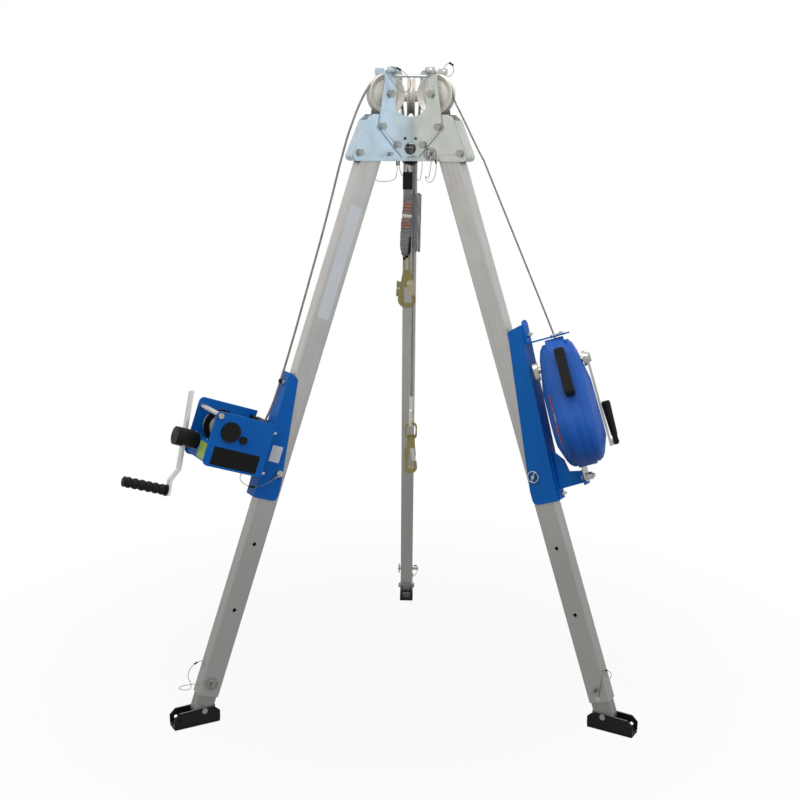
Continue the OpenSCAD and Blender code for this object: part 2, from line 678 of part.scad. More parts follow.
module winch_side_outline(rise) {
    corner = 14;
    high = winch_high + rise;
    difference() {
        translate([winch_back, winch_low]) square([winch_front - winch_back, high - winch_low]);
        translate([winch_front - corner, high - corner]) square(2 * corner);
        translate([winch_front - corner, winch_low - corner]) square(2 * corner);
    }
    for (s = [winch_low + corner, high - corner]) translate([winch_front - corner, s]) circle(corner);
}
inner_bearing_n = drum_n - 42;
module winch_frame() {
    color(blue) leg(left_az) difference() {
        union() {
            for (side = [-1, 1])
                slab(side > 0 ? winch_in : -winch_half, side > 0 ? winch_half : -winch_in)
                winch_side_outline(side > 0 ? 0 : far_rise);
            sheet(winch_back, winch_back + winch_plate)
                translate([-winch_half, winch_low]) square([2 * winch_half, winch_high - winch_low - 12]);
            sheet(front_plate_n, front_plate_n + winch_plate)
                translate([-winch_half + 1, winch_low + 6])
                square([2 * winch_half - 2, drum_s - drum_flange + 8 - winch_low - 6]);
            sheet(front_plate_n, front_plate_n + winch_plate)
                translate([-winch_half + 1, winch_low + 6])
                square([winch_half + drum_low_t - 3, crank_s + 20 - winch_low - 6]);
            sheet(inner_bearing_n - 8, inner_bearing_n)
                translate([-winch_half + 1, crank_s - 18]) square([winch_half + crank_t + 16, 36]);
        }
        bar_y(drum_n, drum_s, 10 + run_gap, -2 * winch_half, 2 * winch_half);
        bar_x(crank_t, crank_s, 8 + run_gap, inner_bearing_n - 20, winch_front);
        for (p = winch_bolts) bar_x(p[0], p[1], 4 + run_gap, 0, winch_back + 2 * winch_plate);
        rope_notch();
    }
}
// Rope roller, end caps, corner bolts and mounting bolts
module winch_hardware() {
    post_t = 9;
    post_s = 952;
    post_n = winch_face_low + 0.1 + (winch_face_high - winch_face_low) * (post_s - bracket_low)
        / (winch_bracket_high - bracket_low);
    leg(left_az) {
        color(black) bar_y(roller_n, roller_s, roller_r, -winch_in, winch_in);
        color(zinc) bar_y(corner_n, corner_s, rod_r, -winch_in, winch_in);
        color(steel) bar_x(post_t, post_s, 4, post_n, post_n + 10);
        color(steel) hex_x(post_t, post_s, 7, post_n, post_n + 4);
        color(black) bar_x(post_t, post_s, 5.5, post_n + 10, post_n + 16);
        for (side = [-1, 1]) {
            face = side > 0 ? winch_half : -winch_half - 6;
            color(black) bar_y(drum_n, drum_s, 26, face, face + 6);
            color(black) bar_y(drum_n - 40, drum_s - 13, 10, face, face + 6);
            color(steel) bar_y(corner_n, corner_s, 7.5, face, face + 6);
        }
        color(steel) for (p = winch_bolts) {
            bar_x(p[0], p[1], 4, winch_back - 16, winch_back + 8);
            hex_x(p[0], p[1], 7, winch_back - plate - 6, winch_back - plate);
            hex_x(p[0], p[1], 7, winch_back + winch_plate, winch_back + winch_plate + 5);
        }
    }
}
module winch_drum() {
    core_low = drum_low_t + drum_cheek;
    color(black) leg(left_az) {
        bar_y(drum_n, drum_s, 10, -winch_half + 0.5, winch_half - 0.5);
        bar_y(drum_n, drum_s, drum_core, drum_low_t, drum_high_t);
        bar_y(drum_n, drum_s, drum_flange, drum_low_t, core_low);
        bar_y(drum_n, drum_s, drum_flange, drum_high_t - drum_cheek, drum_high_t);
    }
}
// The rope's turns: one helix with straight ends
winding_steps = 24;
winding_angle = 90;
function winding_point(a) = [drum_n + winding_r * cos(winding_angle + a),
    winding_start - winding_pitch * a / 360, drum_s + winding_r * sin(winding_angle + a)];
winding_path = [for (i = [0 : winding_turns * winding_steps]) winding_point(i * 360 / winding_steps)];
function ahead(p, q, d) = q + d * unit(q - p);
winding_full = concat([ahead(winding_path[1], winding_path[0], winch_rope_d)], winding_path,
    [ahead(winding_path[len(winding_path) - 2], winding_path[len(winding_path) - 1], winch_rope_d)]);
winding_least = min([for (i = [0 : len(winding_full) - 1], j = [i + winding_steps / 2 : len(winding_full) - 1])
    norm(winding_full[i] - winding_full[j])]) - winch_rope_d;
module winch_winding() {
    echo("least gap of the winding to itself", winding_least);
    color(rope_grey) leg(left_az) tube(winding_full, winch_rope_d / 2, 6, [0, 1, 0]);
}
module worm_wheel() {
    teeth = 40;
    depth = 2;
    step = 360 / teeth;
    color(steel) leg(left_az) difference() {
        slab(crank_t - 6, crank_t + 6) translate([drum_n, drum_s])
            polygon([for (i = [0 : teeth - 1], k = [[-0.3, -1], [-0.14, 1], [0.14, 1], [0.3, -1]])
                let (a = step * (i + k[0]), r = worm_wheel_r + k[1] * depth) [r * cos(a), r * sin(a)]]);
        bar_y(drum_n, drum_s, 10 + run_gap, crank_t - 20, crank_t + 20);
    }
}
module worm_shaft() {
    ridge = 2;
    pitch = 6;
    half_length = 21;
    color(steel) leg(left_az) {
        bar_x(crank_t, crank_s, 8, inner_bearing_n - 8, shaft_end);
        translate([drum_n - half_length, crank_t, crank_s]) rotate([0, 90, 0]) rotate_extrude()
            polygon(concat([[0, 0]], [for (i = [0 : 2 * half_length / pitch - 1],
                k = [[0, -ridge], [0.3, 0], [0.6, 0], [0.9, -ridge]])
                [worm_r + k[1], pitch * (i + k[0])]], [[worm_r - ridge, 2 * half_length], [0, 2 * half_length]]));
    }
}
// The crank bar's own frame: z along the bar, y across it, at the hub axis
module crank_frame() { leg(left_az) translate([0, crank_t, crank_s]) rotate([crank_tilt, 0, 0]) children(); }
module crank_hub() {
    slot_gap = 0.3;
    color(black) difference() {
        leg(left_az) {
            bar_x(crank_t, crank_s, hub_r, hub_n + 14, hub_n + hub_length);
            bar_x(crank_t, crank_s, hub_r - 3, hub_n, hub_n + 15);
        }
        leg(left_az) bar_x(crank_t, crank_s, 8 + run_gap, hub_n - eps, shaft_end + 0.5);
        crank_frame() translate([bar_n - crank_thick / 2 - slot_gap, -crank_width / 2 - slot_gap, -2 * hub_r])
            cube([crank_thick + 2 * slot_gap, crank_width + 2 * slot_gap, 4 * hub_r]);
    }
}
grip_n = bar_n + crank_step + crank_thick / 2;
module crank_arm() {
    bend_z = -crank_radius + 58;
    step_z = -crank_radius + 26;
    half = crank_thick / 2;
    axle = 5;
    color(zinc) crank_frame() {
        slab(-crank_width / 2, crank_width / 2) polygon([[bar_n - half, crank_tail],
            [bar_n - half, bend_z], [bar_n - half + crank_step, step_z],
            [bar_n - half + crank_step, -crank_radius - 12], [bar_n + half + crank_step, -crank_radius - 12],
            [bar_n + half + crank_step, step_z + 3], [bar_n + half, bend_z + 3], [bar_n + half, crank_tail]]);
        bar_x(0, -crank_radius, axle, grip_n - 1, grip_n + grip_length - 8);
    }
}
module crank_grip() {
    axle = 5;
    ribs = 6;
    start = grip_n + touch_gap;
    step = (grip_length - 11) / ribs;
    color(black) crank_frame() translate([start, 0, -crank_radius]) rotate([0, 90, 0]) rotate_extrude()
        polygon(concat([[axle + run_gap, 0], [grip_r + 1, 0], [grip_r + 1, 4]],
            [for (i = [0 : ribs - 1], k = [[0.08, -2.4], [0.3, -0.4], [0.5, 0.2], [0.7, -0.4], [0.92, -2.4]])
                [grip_r + k[1], 4 + step * (i + k[0])]],
            [[grip_r, grip_length - 5], [grip_r - 2, grip_length - 2], [grip_r - 6, grip_length],
                [0, grip_length], [0, grip_length - 6], [axle + run_gap, grip_length - 6]]));
}
module winch_pin() {
    face = half_width + head_gap + plate;
    color(steel) leg(left_az) {
        bar_y(bracket_pin_n, bracket_pin_s, pin_r, -face - 6, face + 6);
        bar_y(bracket_pin_n, bracket_pin_s, pin_r + 4, face + touch_gap, face + 9);
    }
}

// Bracket of the retrieval block, with its lower arm and the lug bolt
block_bracket_high = 1111;
block_face_low = half_depth + 14;
block_face_high = half_depth + 44;
function block_face(s) = block_face_low
    + (block_face_high - block_face_low) * (s - bracket_low) / (block_bracket_high - bracket_low);
lug_s = block_low - 28;
lug_n = block_n - 14;
lug_plate = 4;
guide_bolt_s = guide_s + 22;
tab_s = lug_s - 32;
module block_bracket() {
    flange_out = half_width + head_gap + plate;
    end_n = lug_n - lug_plate / 2 - plate - touch_gap;
    leg(right_az) {
        color(blue) difference() {
            union() {
                channel(bracket_low, block_bracket_high, -29, 34, block_face_low, block_face_high);
                slab(-4, 4) polygon([[block_face(lug_s - 20) - 2, lug_s - 20], [end_n + 1, lug_s - 14],
                    [end_n + 1, lug_s + 16], [block_face(lug_s) + 40, lug_s + 22], [block_face(lug_s) + 34, lug_s + 54],
                    [block_face(lug_s + 90) - 2, lug_s + 90]]);
                sheet(end_n, end_n + plate) translate([0, lug_s]) round_rect(32, 40, 5);
                slab(-15, 15) polygon([[block_face(tab_s - 13) - 1, tab_s - 13],
                    [block_face(tab_s - 13) + plate, tab_s - 13], [block_face(lug_s + 90) + plate, lug_s + 90],
                    [block_face(lug_s + 90) - 1, lug_s + 90]]);
            }
            bar_x(0, lug_s, 5 + run_gap, end_n - 5, lug_n + 20);
            bar_x(0, lug_s, 10, end_n - 9, end_n);
            for (s = [guide_bolt_s, tab_s]) bar_x(0, s, 4 + run_gap, 0, block_n);
        }
        color(steel) {
            bar_x(0, lug_s, 5, end_n - 6, lug_n + 24);
            hex_x(0, lug_s, 8.5, end_n - 6, end_n - touch_gap);
            hex_x(0, lug_s, 10, lug_n + lug_plate / 2 + touch_gap, lug_n + 18);
            bar_x(0, tab_s, 4, block_face(tab_s) - plate - 4, block_face(tab_s) + plate + 14);
            hex_x(0, tab_s, 7, block_face(tab_s) + plate + 0.6, block_face(tab_s) + plate + 7);
        }
    }
}
// Slotted angle over the block, with the bush that the rope comes out of
module block_guide() {
    face = block_face(guide_s);
    top = guide_s + 62;
    rope_n = block_leg_route[0][0];
    color(blue) leg(right_az) difference() {
        union() {
            intersection() {
                slab(-15, 15) polygon([[block_face(guide_s - 2), guide_s - 2], [face + plate, guide_s - 2],
                    [block_face(top) + plate, top], [block_face(top), top]]);
                sheet(0, block_n) translate([0, guide_s + 11]) round_rect(30, 2 * (top - guide_s - 11), 12);
            }
            slab(-15, 15) polygon([[face + 1, guide_s - 2], [block_n + 40, guide_s - 2],
                [block_n + 40, guide_s + 2], [face + 1, guide_s + 2]]);
            translate([rope_n, 0, guide_s - 3]) cylinder(r = 11, h = 8);
        }
        translate([rope_n, 0, guide_s - 10]) cylinder(r = 4, h = 20);
        bar_x(0, guide_bolt_s, 4 + run_gap, 0, block_n);
    }
    color(steel) leg(right_az) {
        bar_x(0, guide_bolt_s, 4, block_face(guide_bolt_s) - plate - 8, block_face(guide_bolt_s) + plate + 14);
        hex_x(0, guide_bolt_s, 7, block_face(guide_bolt_s) + plate + 0.6, block_face(guide_bolt_s) + plate + 8);
        translate([rope_n + 20, 0, guide_s + 2 + seat_gap]) cylinder(r = 7, h = 6, $fn = 6);
    }
}

// Outline of the casing, in the block's y and z, drawn in by a margin
module case_outline(inset) {
    lean = asin((case_big - case_small) / case_span);
    big = case_big - inset;
    small = case_small - inset;
    translate([0, big_s]) circle(big);
    translate([0, small_s]) circle(small);
    polygon([for (p = [[big, big_s, 1], [small, small_s, 1], [small, small_s, -1], [big, big_s, -1]])
        [p[2] * p[0] * cos(lean), p[1] + p[0] * sin(lean)]]);
}
swell_s = big_s + 8;  // height that the casing's bulge is centred on
module swell(x0, x1, inset, from, to) {
    translate([x0, 0, swell_s]) rotate([90, 0, 90]) linear_extrude(x1 - x0, scale = to / from)
        translate([0, -swell_s * from]) scale(from) case_outline(inset);
}
// Bulge beside the middle band: share of the way out, and size against the band's outline
case_bulge = [[0, 0.955], [0.25, 0.955], [0.475, 0.9], [0.65, 0.8], [0.825, 0.62], [1, 0.45]];
// One half of the casing as a solid, from x = 0 outward
module case_form(inset) {
    band = case_rim - inset;
    sheet(0, band) case_outline(inset);
    for (i = [1 : len(case_bulge) - 1])
        swell(band - 0.01 + case_bulge[i - 1][0] * (case_half - case_rim),
            band + case_bulge[i][0] * (case_half - case_rim), inset, case_bulge[i - 1][1], case_bulge[i][1]);
}
module case_half_shell() {
    boss = 14;
    difference() {
        union() {
            difference() {
                case_form(0);
                translate([-0.01, 0, 0]) case_form(case_wall);
            }
            intersection() {
                case_form(1);
                for (s = [drum_axle_s, shaft_s]) bar_x(0, s, boss, 34, case_half);
            }
        }
        bar_x(0, drum_axle_s, block_shaft_r + run_gap, 0, case_half - case_wall);
        bar_x(0, shaft_s, block_shaft_r + run_gap, 0, 2 * case_half);
        translate([0, 0, small_s]) cylinder(r = 6, h = 2 * case_small);
    }
}
module block_case_back() {
    color(blue) {
        block() mirror([1, 0, 0]) case_half_shell();
        leg(right_az) difference() {
            sheet(lug_n - lug_plate / 2, lug_n + lug_plate / 2) {
                translate([0, lug_s]) circle(14);
                translate([-14, lug_s]) square([28, block_low - lug_s + 3.5]);
            }
            bar_x(0, lug_s, 5 + run_gap, lug_n - 10, lug_n + 10);
        }
    }
}
module block_case_front() {
    color(blue) block() case_half_shell();
}

// Carrying handle on the casing's slanted edge
module block_handle() {
    lean = asin((case_big - case_small) / case_span);
    length = handle_length;
    rise = 34;
    post = 15;
    grip = 13;
    middle = case_span * cos(lean) / 2 + handle_up;
    color(black) block() translate([0, -case_big * cos(lean), big_s + case_big * sin(lean)])
        rotate([-lean, 0, 0]) intersection() {
            sheet(-5, 21) translate([0, middle]) difference() {
                union() {
                    translate([-rise / 2 - seat_gap, 0]) round_rect(rise, length, 9);
                    translate([-10 - seat_gap, -length / 2]) square([10, length]);
                }
                translate([-(rise - grip) / 2 - seat_gap, 0]) round_rect(rise - grip, length - 2 * post, 8);
                translate([-10 - seat_gap, post - length / 2]) square([20, length - 2 * post]);
            }
            translate([8, rise, middle]) rotate([90, 0, 0]) linear_extrude(3 * rise) round_rect(26, length, 9);
        }
}

// Involute gear outline with its teeth's tips a little short, for free running
pressure = 20;
gear_play = 0.3;
function involute(a) = tan(a) * 180 / PI - a;
function tooth_half(teeth, rho) = let (r = gear_module * teeth / 2, base = r * cos(pressure))
    90 / teeth - gear_play / r * 90 / PI + involute(pressure) - involute(acos(min(1, base / max(rho, base))));
module gear_outline(teeth) {
    r = gear_module * teeth / 2;
    base = max(r * cos(pressure), r - 1.15 * gear_module);
    radii = [r - 1.15 * gear_module, base + 0.01, r, r + 0.85 * gear_module];
    polygon([for (i = [0 : teeth - 1], k = [[0, -1], [1, -1], [2, -1], [3, -1], [3, 1], [2, 1], [1, 1], [0, 1]])
        let (a = 360 * i / teeth + k[1] * tooth_half(teeth, radii[k[0]]))
        [radii[k[0]] * cos(a), radii[k[0]] * sin(a)]]);
}
// Rope drum and ring gear inside the casing, on their axle
module block_drum() {
    reach = case_half - case_wall - 1;
    gear_t = 8;
    spool = 50;
    color(steel) block() {
        bar_x(0, drum_axle_s, block_shaft_r, -reach, reach);
        sheet(-gear_t, gear_t) translate([0, drum_axle_s]) gear_outline(ring_teeth);
        bar_x(0, drum_axle_s, spool, -28, 28);
        bar_x(0, drum_axle_s, spool + 16, -30, -26);
    }
}
knob_x = case_half - 5.5;
knob_r = 20;
knob_back_r = 26;
module block_crank_shaft() {
    color(steel) block() {
        bar_x(0, shaft_s, block_shaft_r, -knob_x - 5, knob_x + 17);
        bar_x(0, shaft_s, knob_back_r, -knob_x - 13, -knob_x - 1.5);
        bar_x(0, shaft_s, knob_r, knob_x, knob_x + 8);
        hex_x(0, shaft_s, 12, knob_x + 14.05, knob_x + 20);
        sheet(-9, 9) translate([0, shaft_s]) gear_outline(pinion_teeth);
    }
}
arm_x = knob_x + 8;
arm_thick = 6;
grip_hinge_x = arm_x + arm_thick + 12;
grip_hinge_s = shaft_s - block_crank;
module block_crank_arm() {
    half = 9;
    color(zinc) block() difference() {
        union() {
            sheet(arm_x, arm_x + arm_thick) {
                translate([0, shaft_s]) circle(15);
                translate([0, grip_hinge_s]) circle(half);
                translate([-half, grip_hinge_s]) square([2 * half, block_crank]);
            }
            slab(-4, 4) {
                translate([grip_hinge_x, grip_hinge_s]) circle(8);
                translate([arm_x + 1, grip_hinge_s - 8]) square([grip_hinge_x - arm_x - 1, 16]);
            }
        }
        bar_x(0, shaft_s, block_shaft_r + run_gap, arm_x - eps, arm_x + 2 * arm_thick);
        bar_y(grip_hinge_x, grip_hinge_s, 4 + run_gap, -20, 20);
    }
}
module block_grip() {
    foot = 16;
    color(black) block() {
        translate([grip_hinge_x, 0, grip_hinge_s + foot]) rotate_extrude()
            polygon([[0, 0], [7.5, 0], [8.5, 3], [11.8, block_grip_length - 6], [10, block_grip_length],
                [0, block_grip_length]]);
        for (side = [-1, 1]) slab(side > 0 ? 4 + touch_gap : -8, side > 0 ? 8 : -4 - touch_gap) {
            translate([grip_hinge_x, grip_hinge_s]) circle(8);
            translate([grip_hinge_x - 7, grip_hinge_s]) square([14, foot + 3]);
        }
        bar_y(grip_hinge_x, grip_hinge_s, 4, -7, 7);
    }
}
module block_pin() {
    reach = half_width + head_gap + plate + 9;
    color(steel) leg(right_az) ring_pin(bracket_pin_n, bracket_pin_s, reach, reach, -1);
}

// Ropes: the part that goes with a leg, and the part that goes with the head
function groove_line(d) = sheave_r - groove_depth + d / 2 + touch_gap;
function rope_join(route) = leg_to_arm(ahead(route[len(route) - 2], route[len(route) - 1], join_gap));
module winch_rope_leg() { color(rope_grey) leg(left_az) tube(winch_leg_route, winch_rope_d / 2, 8, [0, 1, 0]); }
module block_rope_leg() { color(rope_grey) leg(right_az) tube(block_leg_route, block_rope_d / 2, 8, [0, 1, 0]); }
module winch_rope_head() {
    color(rope_grey) arm(left_az) tube(concat([rope_join(winch_leg_route)], winch_climb_route,
        arc(sheave_x, sheave_z, groove_line(winch_rope_d), 38, 176, 14), winch_drop_route),
        winch_rope_d / 2, 8, [0, 1, 0]);
}
module block_rope_head() {
    color(rope_grey) arm(right_az) tube(concat([rope_join(block_leg_route)], block_climb_route,
        arc(sheave_x, sheave_z, groove_line(block_rope_d), 22, 176, 16), block_drop_route),
        block_rope_d / 2, 8, [0, 1, 0]);
}

// Sleeve that ends the winch rope, over the absorber pack
module rope_sleeve() {
    color(black) lanyard() difference() {
        translate([0, 0, pack_top + seat_gap]) linear_extrude(sleeve_length) round_rect(27, 20, 6);
        translate([0, 0, pack_top + 20]) cylinder(r = winch_rope_d / 2 + touch_gap, h = sleeve_length);
    }
}
// Folded absorber with its bottom loop, and the spare webbing in a concertina beside it
eye_bar_z = pack_low - 9;
eye_bar_r = 4;
module absorber_pack() {
    half = pack_width / 2;
    band_z = pack_top - 0.39 * pack_length;
    pitch = webbing_thick + 1;
    strand_x = half + webbing_thick / 2 + 1;
    strands = 2 * webbing_folds;
    high = pack_top - 18;
    low = pack_low + 10;
    color(strap_grey) lanyard() {
        difference() {
            union() {
                intersection() {
                    slab(-pack_depth / 2, pack_depth / 2) polygon([[-half + 4, pack_top], [half - 4, pack_top],
                        [half, pack_top - 12], [half, band_z + 8], [half - 2, band_z], [half, band_z - 10],
                        [half, pack_low + 14], [half - 5, pack_low], [5 - half, pack_low], [-half, pack_low + 14],
                        [-half, band_z - 10], [2 - half, band_z], [-half, band_z + 8], [-half, pack_top - 12]]);
                    sheet(-half, half) translate([0, (pack_top + pack_low) / 2])
                        round_rect(pack_depth, pack_length, 7);
                }
                slab(-8, 8) {
                    translate([-4, eye_bar_z]) square([8, 12]);
                }
                bar_x(0, eye_bar_z, 8, -4, 4);
            }
            bar_x(0, eye_bar_z, eye_bar_r + 1.5, -10, 10);
        }
        slab(-12, 12) {
            for (i = [0 : strands - 1])
                translate([strand_x + i * pitch - webbing_thick / 2, low]) square([webbing_thick, high - low]);
            for (i = [0 : strands - 2]) translate([strand_x + (i + 0.5) * pitch, i % 2 == 0 ? low : high])
                difference() {
                    circle((pitch + webbing_thick) / 2);
                    circle((pitch - webbing_thick) / 2);
                    translate([-2 * pitch, i % 2 == 0 ? 0 : -4 * pitch]) square(4 * pitch);
                }
            translate([half - 3, high - 4]) square([3 + 1 + webbing_thick, 4]);
        }
    }
}
// Big snap hook on the lanyard: an eye bar, a body, a bowl and a locking lever
hook_top = eye_bar_z;
hook_pin_z = hook_top - 79;
module lanyard_hook() {
    bowl_z = hook_top - 124;
    color(yellow_zinc) lanyard() {
        bar_x(0, hook_top, eye_bar_r, -9.5, 9.5);
        difference() {
            slab(-6, 6) difference() {
                union() {
                    translate([1, bowl_z]) circle(25);
                    polygon([[-9.5, hook_top], [9.5, hook_top], [9.5, hook_top - 42], [18, hook_top - 76],
                        [26, bowl_z], [-24, bowl_z], [-16, hook_top - 76], [-9.5, hook_top - 42]]);
                }
                translate([-4.8, hook_top - 44]) square([9.6, 80]);
                translate([5, bowl_z + 1]) circle(12);
                translate([-7, bowl_z + 1]) square([24, 32]);
                translate([12, bowl_z + 11]) square([40, 22]);
            }
            bar_y(9.5, hook_pin_z, 3 + run_gap, -20, 20);
        }
        slab(-8, 8) polygon([[-29, bowl_z + 8], [-16.5, bowl_z + 8], [-16.5, bowl_z + 46], [-27, bowl_z + 50]]);
    }
}
module lanyard_gate() {
    bowl_z = hook_top - 124;
    color(yellow_zinc) lanyard() {
        for (side = [-1, 1]) slab(side > 0 ? 6 + touch_gap : -9, side > 0 ? 9 : -6 - touch_gap) {
            translate([9.5, hook_pin_z]) circle(9.5);
            translate([2, bowl_z + 12]) square([17, hook_pin_z - bowl_z - 12]);
        }
        slab(-8, 8) translate([12.5, bowl_z + 11.4]) square([6.5, 21]);
        bar_y(9.5, hook_pin_z, 3, -8, 8);
    }
}
// Ferrule and thimble on the end of the block rope
thimble_z = ferrule_z - ferrule_length - 26;
module rope_ferrule() {
    color(cream) swivel() {
        difference() {
            translate([0, 0, ferrule_z - ferrule_length]) cylinder(r = 6, h = ferrule_length);
            translate([0, 0, ferrule_z - ferrule_length + 10])
                cylinder(r = block_rope_d / 2 + touch_gap, h = ferrule_length);
        }
        rotate([0, 0, 75]) slab(-3.5, 3.5) translate([0, thimble_z]) difference() {
            round_rect(21, 56, 10);
            round_rect(13, 43, 6.4);
        }
    }
}
// Swivelling eye that hangs on the thimble
eye_top = thimble_z - 28 + 7 + 9;
eye_low = eye_top - 51;
module swivel_eye() {
    color(yellow_zinc) swivel() difference() {
        union() {
            slab(-3, 3) translate([0, (eye_top + eye_low) / 2]) difference() {
                round_rect(34, 51, 14);
                translate([0, 2]) round_rect(25, 33, 9);
            }
            translate([0, 0, eye_low]) cylinder(r = 10, h = 11);
        }
        translate([0, 0, eye_low - eps]) cylinder(r = 5 + run_gap, h = 30);
        translate([0, 0, eye_low + 11]) cylinder(r = 8 + touch_gap, h = 4 + 2 * touch_gap);
    }
}
swivel_top = eye_low - touch_gap;
gate_pin_z = swivel_top - 28;
module swivel_hook() {
    bowl_z = swivel_top - 80;
    color(yellow_zinc) swivel() {
        translate([0, 0, swivel_top - 4]) cylinder(r = 5, h = 17);
        translate([0, 0, eye_low + 11 + touch_gap]) cylinder(r = 8, h = 4);
        difference() {
            slab(-6, 6) difference() {
                union() {
                    translate([0, bowl_z]) circle(18.5);
                    polygon([[-11, swivel_top], [11, swivel_top], [12, swivel_top - 20], [18.5, bowl_z],
                        [-18.5, bowl_z], [-14, swivel_top - 20]]);
                }
                translate([1, bowl_z + 4]) circle(7.5);
                translate([-6.5, bowl_z + 4]) square([15, 32]);
                translate([5, bowl_z + 18]) square([40, 18]);
            }
            bar_y(4, gate_pin_z, 2.5 + run_gap, -20, 20);
        }
        slab(-8, 8) polygon([[-18, bowl_z + 18], [-10, bowl_z + 16], [-12, bowl_z + 58], [-18, bowl_z + 60]]);
    }
}
module swivel_gate() {
    bowl_z = swivel_top - 80;
    color(zinc) swivel() {
        for (side = [-1, 1]) slab(side > 0 ? 6 + touch_gap : -8.5, side > 0 ? 8.5 : -6 - touch_gap) {
            translate([4, gate_pin_z]) circle(6.5);
            polygon([[-2.5, gate_pin_z], [10.5, gate_pin_z], [14, bowl_z + 18.5], [4, bowl_z + 20]]);
        }
        slab(-8, 8) translate([8, bowl_z + 20.4]) square([6, 15]);
        bar_y(4, gate_pin_z, 2.5, -7, 7);
    }
}

head_plates();
sheave_plates();
head_spacers();
head_bolts();
sheave_axles();
rope_guide();
winch_rope_head();
block_rope_head();
rope_sleeve();
absorber_pack();
rope_ferrule();
swivel_eye();
sheave_left();
sheave_right();
sheave_rear();
lock_pin_left();
lock_pin_right();
lock_pin_rear();
outer_leg_left();
outer_leg_right();
outer_leg_rear();
inner_leg_left();
inner_leg_right();
inner_leg_rear();
foot_shoe_left();
foot_shoe_right();
foot_shoe_rear();
foot_pad_left();
foot_pad_right();
foot_pad_rear();
leg_pin_left();
leg_pin_right();
leg_pin_rear();
winch_bracket();
winch_frame();
winch_hardware();
winch_rope_leg();
winch_drum();
winch_winding();
worm_wheel();
worm_shaft();
crank_hub();
crank_arm();
crank_grip();
winch_pin();
block_bracket();
block_guide();
block_case_back();
block_case_front();
block_handle();
block_rope_leg();
block_drum();
block_crank_shaft();
block_crank_arm();
block_grip();
block_pin();
lanyard_hook();
lanyard_gate();
swivel_hook();
swivel_gate();
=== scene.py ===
"""Looks of the rescue tripod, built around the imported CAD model. Metres, in the model's own frame."""
import math

import bpy
from mathutils import Matrix, Vector


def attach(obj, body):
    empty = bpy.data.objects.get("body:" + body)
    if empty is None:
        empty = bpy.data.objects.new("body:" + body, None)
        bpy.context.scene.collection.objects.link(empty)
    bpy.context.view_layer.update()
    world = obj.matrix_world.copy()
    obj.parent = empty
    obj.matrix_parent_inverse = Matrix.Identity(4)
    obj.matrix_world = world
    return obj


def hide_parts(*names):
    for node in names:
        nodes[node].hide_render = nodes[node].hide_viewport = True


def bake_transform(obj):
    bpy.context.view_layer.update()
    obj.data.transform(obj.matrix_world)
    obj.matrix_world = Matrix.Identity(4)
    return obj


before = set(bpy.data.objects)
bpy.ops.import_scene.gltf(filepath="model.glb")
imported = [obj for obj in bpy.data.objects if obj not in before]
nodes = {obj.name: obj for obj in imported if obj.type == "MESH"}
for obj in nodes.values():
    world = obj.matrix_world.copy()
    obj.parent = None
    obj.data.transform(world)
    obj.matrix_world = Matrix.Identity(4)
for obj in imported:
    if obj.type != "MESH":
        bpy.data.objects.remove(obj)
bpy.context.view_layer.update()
scene = bpy.context.scene

# Places of the tripod
AXIS = Vector((0.042, -0.132, 0.0))
ARM_AZIMUTH = {"left": 210, "right": 330, "rear": 90}
SIDES = list(ARM_AZIMUTH)
LEAN = math.radians(19)
PIVOT_R, PIVOT_Z = 0.100, 1.580
FOOT_R = PIVOT_R + PIVOT_Z * math.tan(LEAN)
TUBE_WIDTH = 0.040
BLOCK_N, BLOCK_TURN = 0.146, math.radians(22)
SHEAVE_R, SHEAVE_Z = 0.077, 1.664
GROOVE_FLOOR, GROOVE_GAP = 0.0455, 0.0003


def arm_frame(side):
    """x outward from the tripod axis, y across the arm, z up."""
    return Matrix.Translation(AXIS) @ Matrix.Rotation(math.radians(ARM_AZIMUTH[side]), 4, "Z")


def leg_frame(side):
    """x out from the leg's middle, y across it, z up the leg from the floor."""
    return arm_frame(side) @ Matrix.Translation((FOOT_R, 0, 0)) @ Matrix.Rotation(-LEAN, 4, "Y")


BLOCK = leg_frame("right") @ Matrix.Translation((BLOCK_N, 0, 0)) @ Matrix.Rotation(BLOCK_TURN, 4, "Z")
LANYARD = Matrix.Translation(AXIS + Vector((-0.006, -0.006, 0)))


# Camera
def add_camera():
    """The photograph's camera: place from the tripod axis, pan, tilt down and roll."""
    place = AXIS + Vector((0.0196, -3.2918, 1.5264))
    pan, tilt, roll = -0.01237, 0.20857, 0.0100
    focal_px, image_px, sensor_mm = 1192.58, 800, 36
    ahead = Vector((math.sin(pan), math.cos(pan), 0))
    right = Vector((math.cos(pan), -math.sin(pan), 0))
    forward = math.cos(tilt) * ahead - math.sin(tilt) * Vector((0, 0, 1))
    up = math.sin(tilt) * ahead + math.cos(tilt) * Vector((0, 0, 1))
    camera_x = math.cos(roll) * right + math.sin(roll) * up
    camera_y = -math.sin(roll) * right + math.cos(roll) * up
    data = bpy.data.cameras.new("camera")
    data.sensor_width = sensor_mm
    data.lens = focal_px / image_px * sensor_mm
    camera = bpy.data.objects.new("camera", data)
    scene.collection.objects.link(camera)
    turn = Matrix((camera_x, camera_y, -forward)).transposed().to_4x4()
    camera.matrix_world = Matrix.Translation(place) @ turn
    scene.camera = camera


add_camera()


# Materials
def map_range(tree, value, start, end, low, high):
    """Carries a value from the range start to end over to the range low to high."""
    node = tree.nodes.new("ShaderNodeMapRange")
    for socket, number in (("From Min", start), ("From Max", end), ("To Min", low), ("To Max", high)):
        node.inputs[socket].default_value = number
    tree.links.new(value, node.inputs["Value"])
    return node.outputs["Result"]


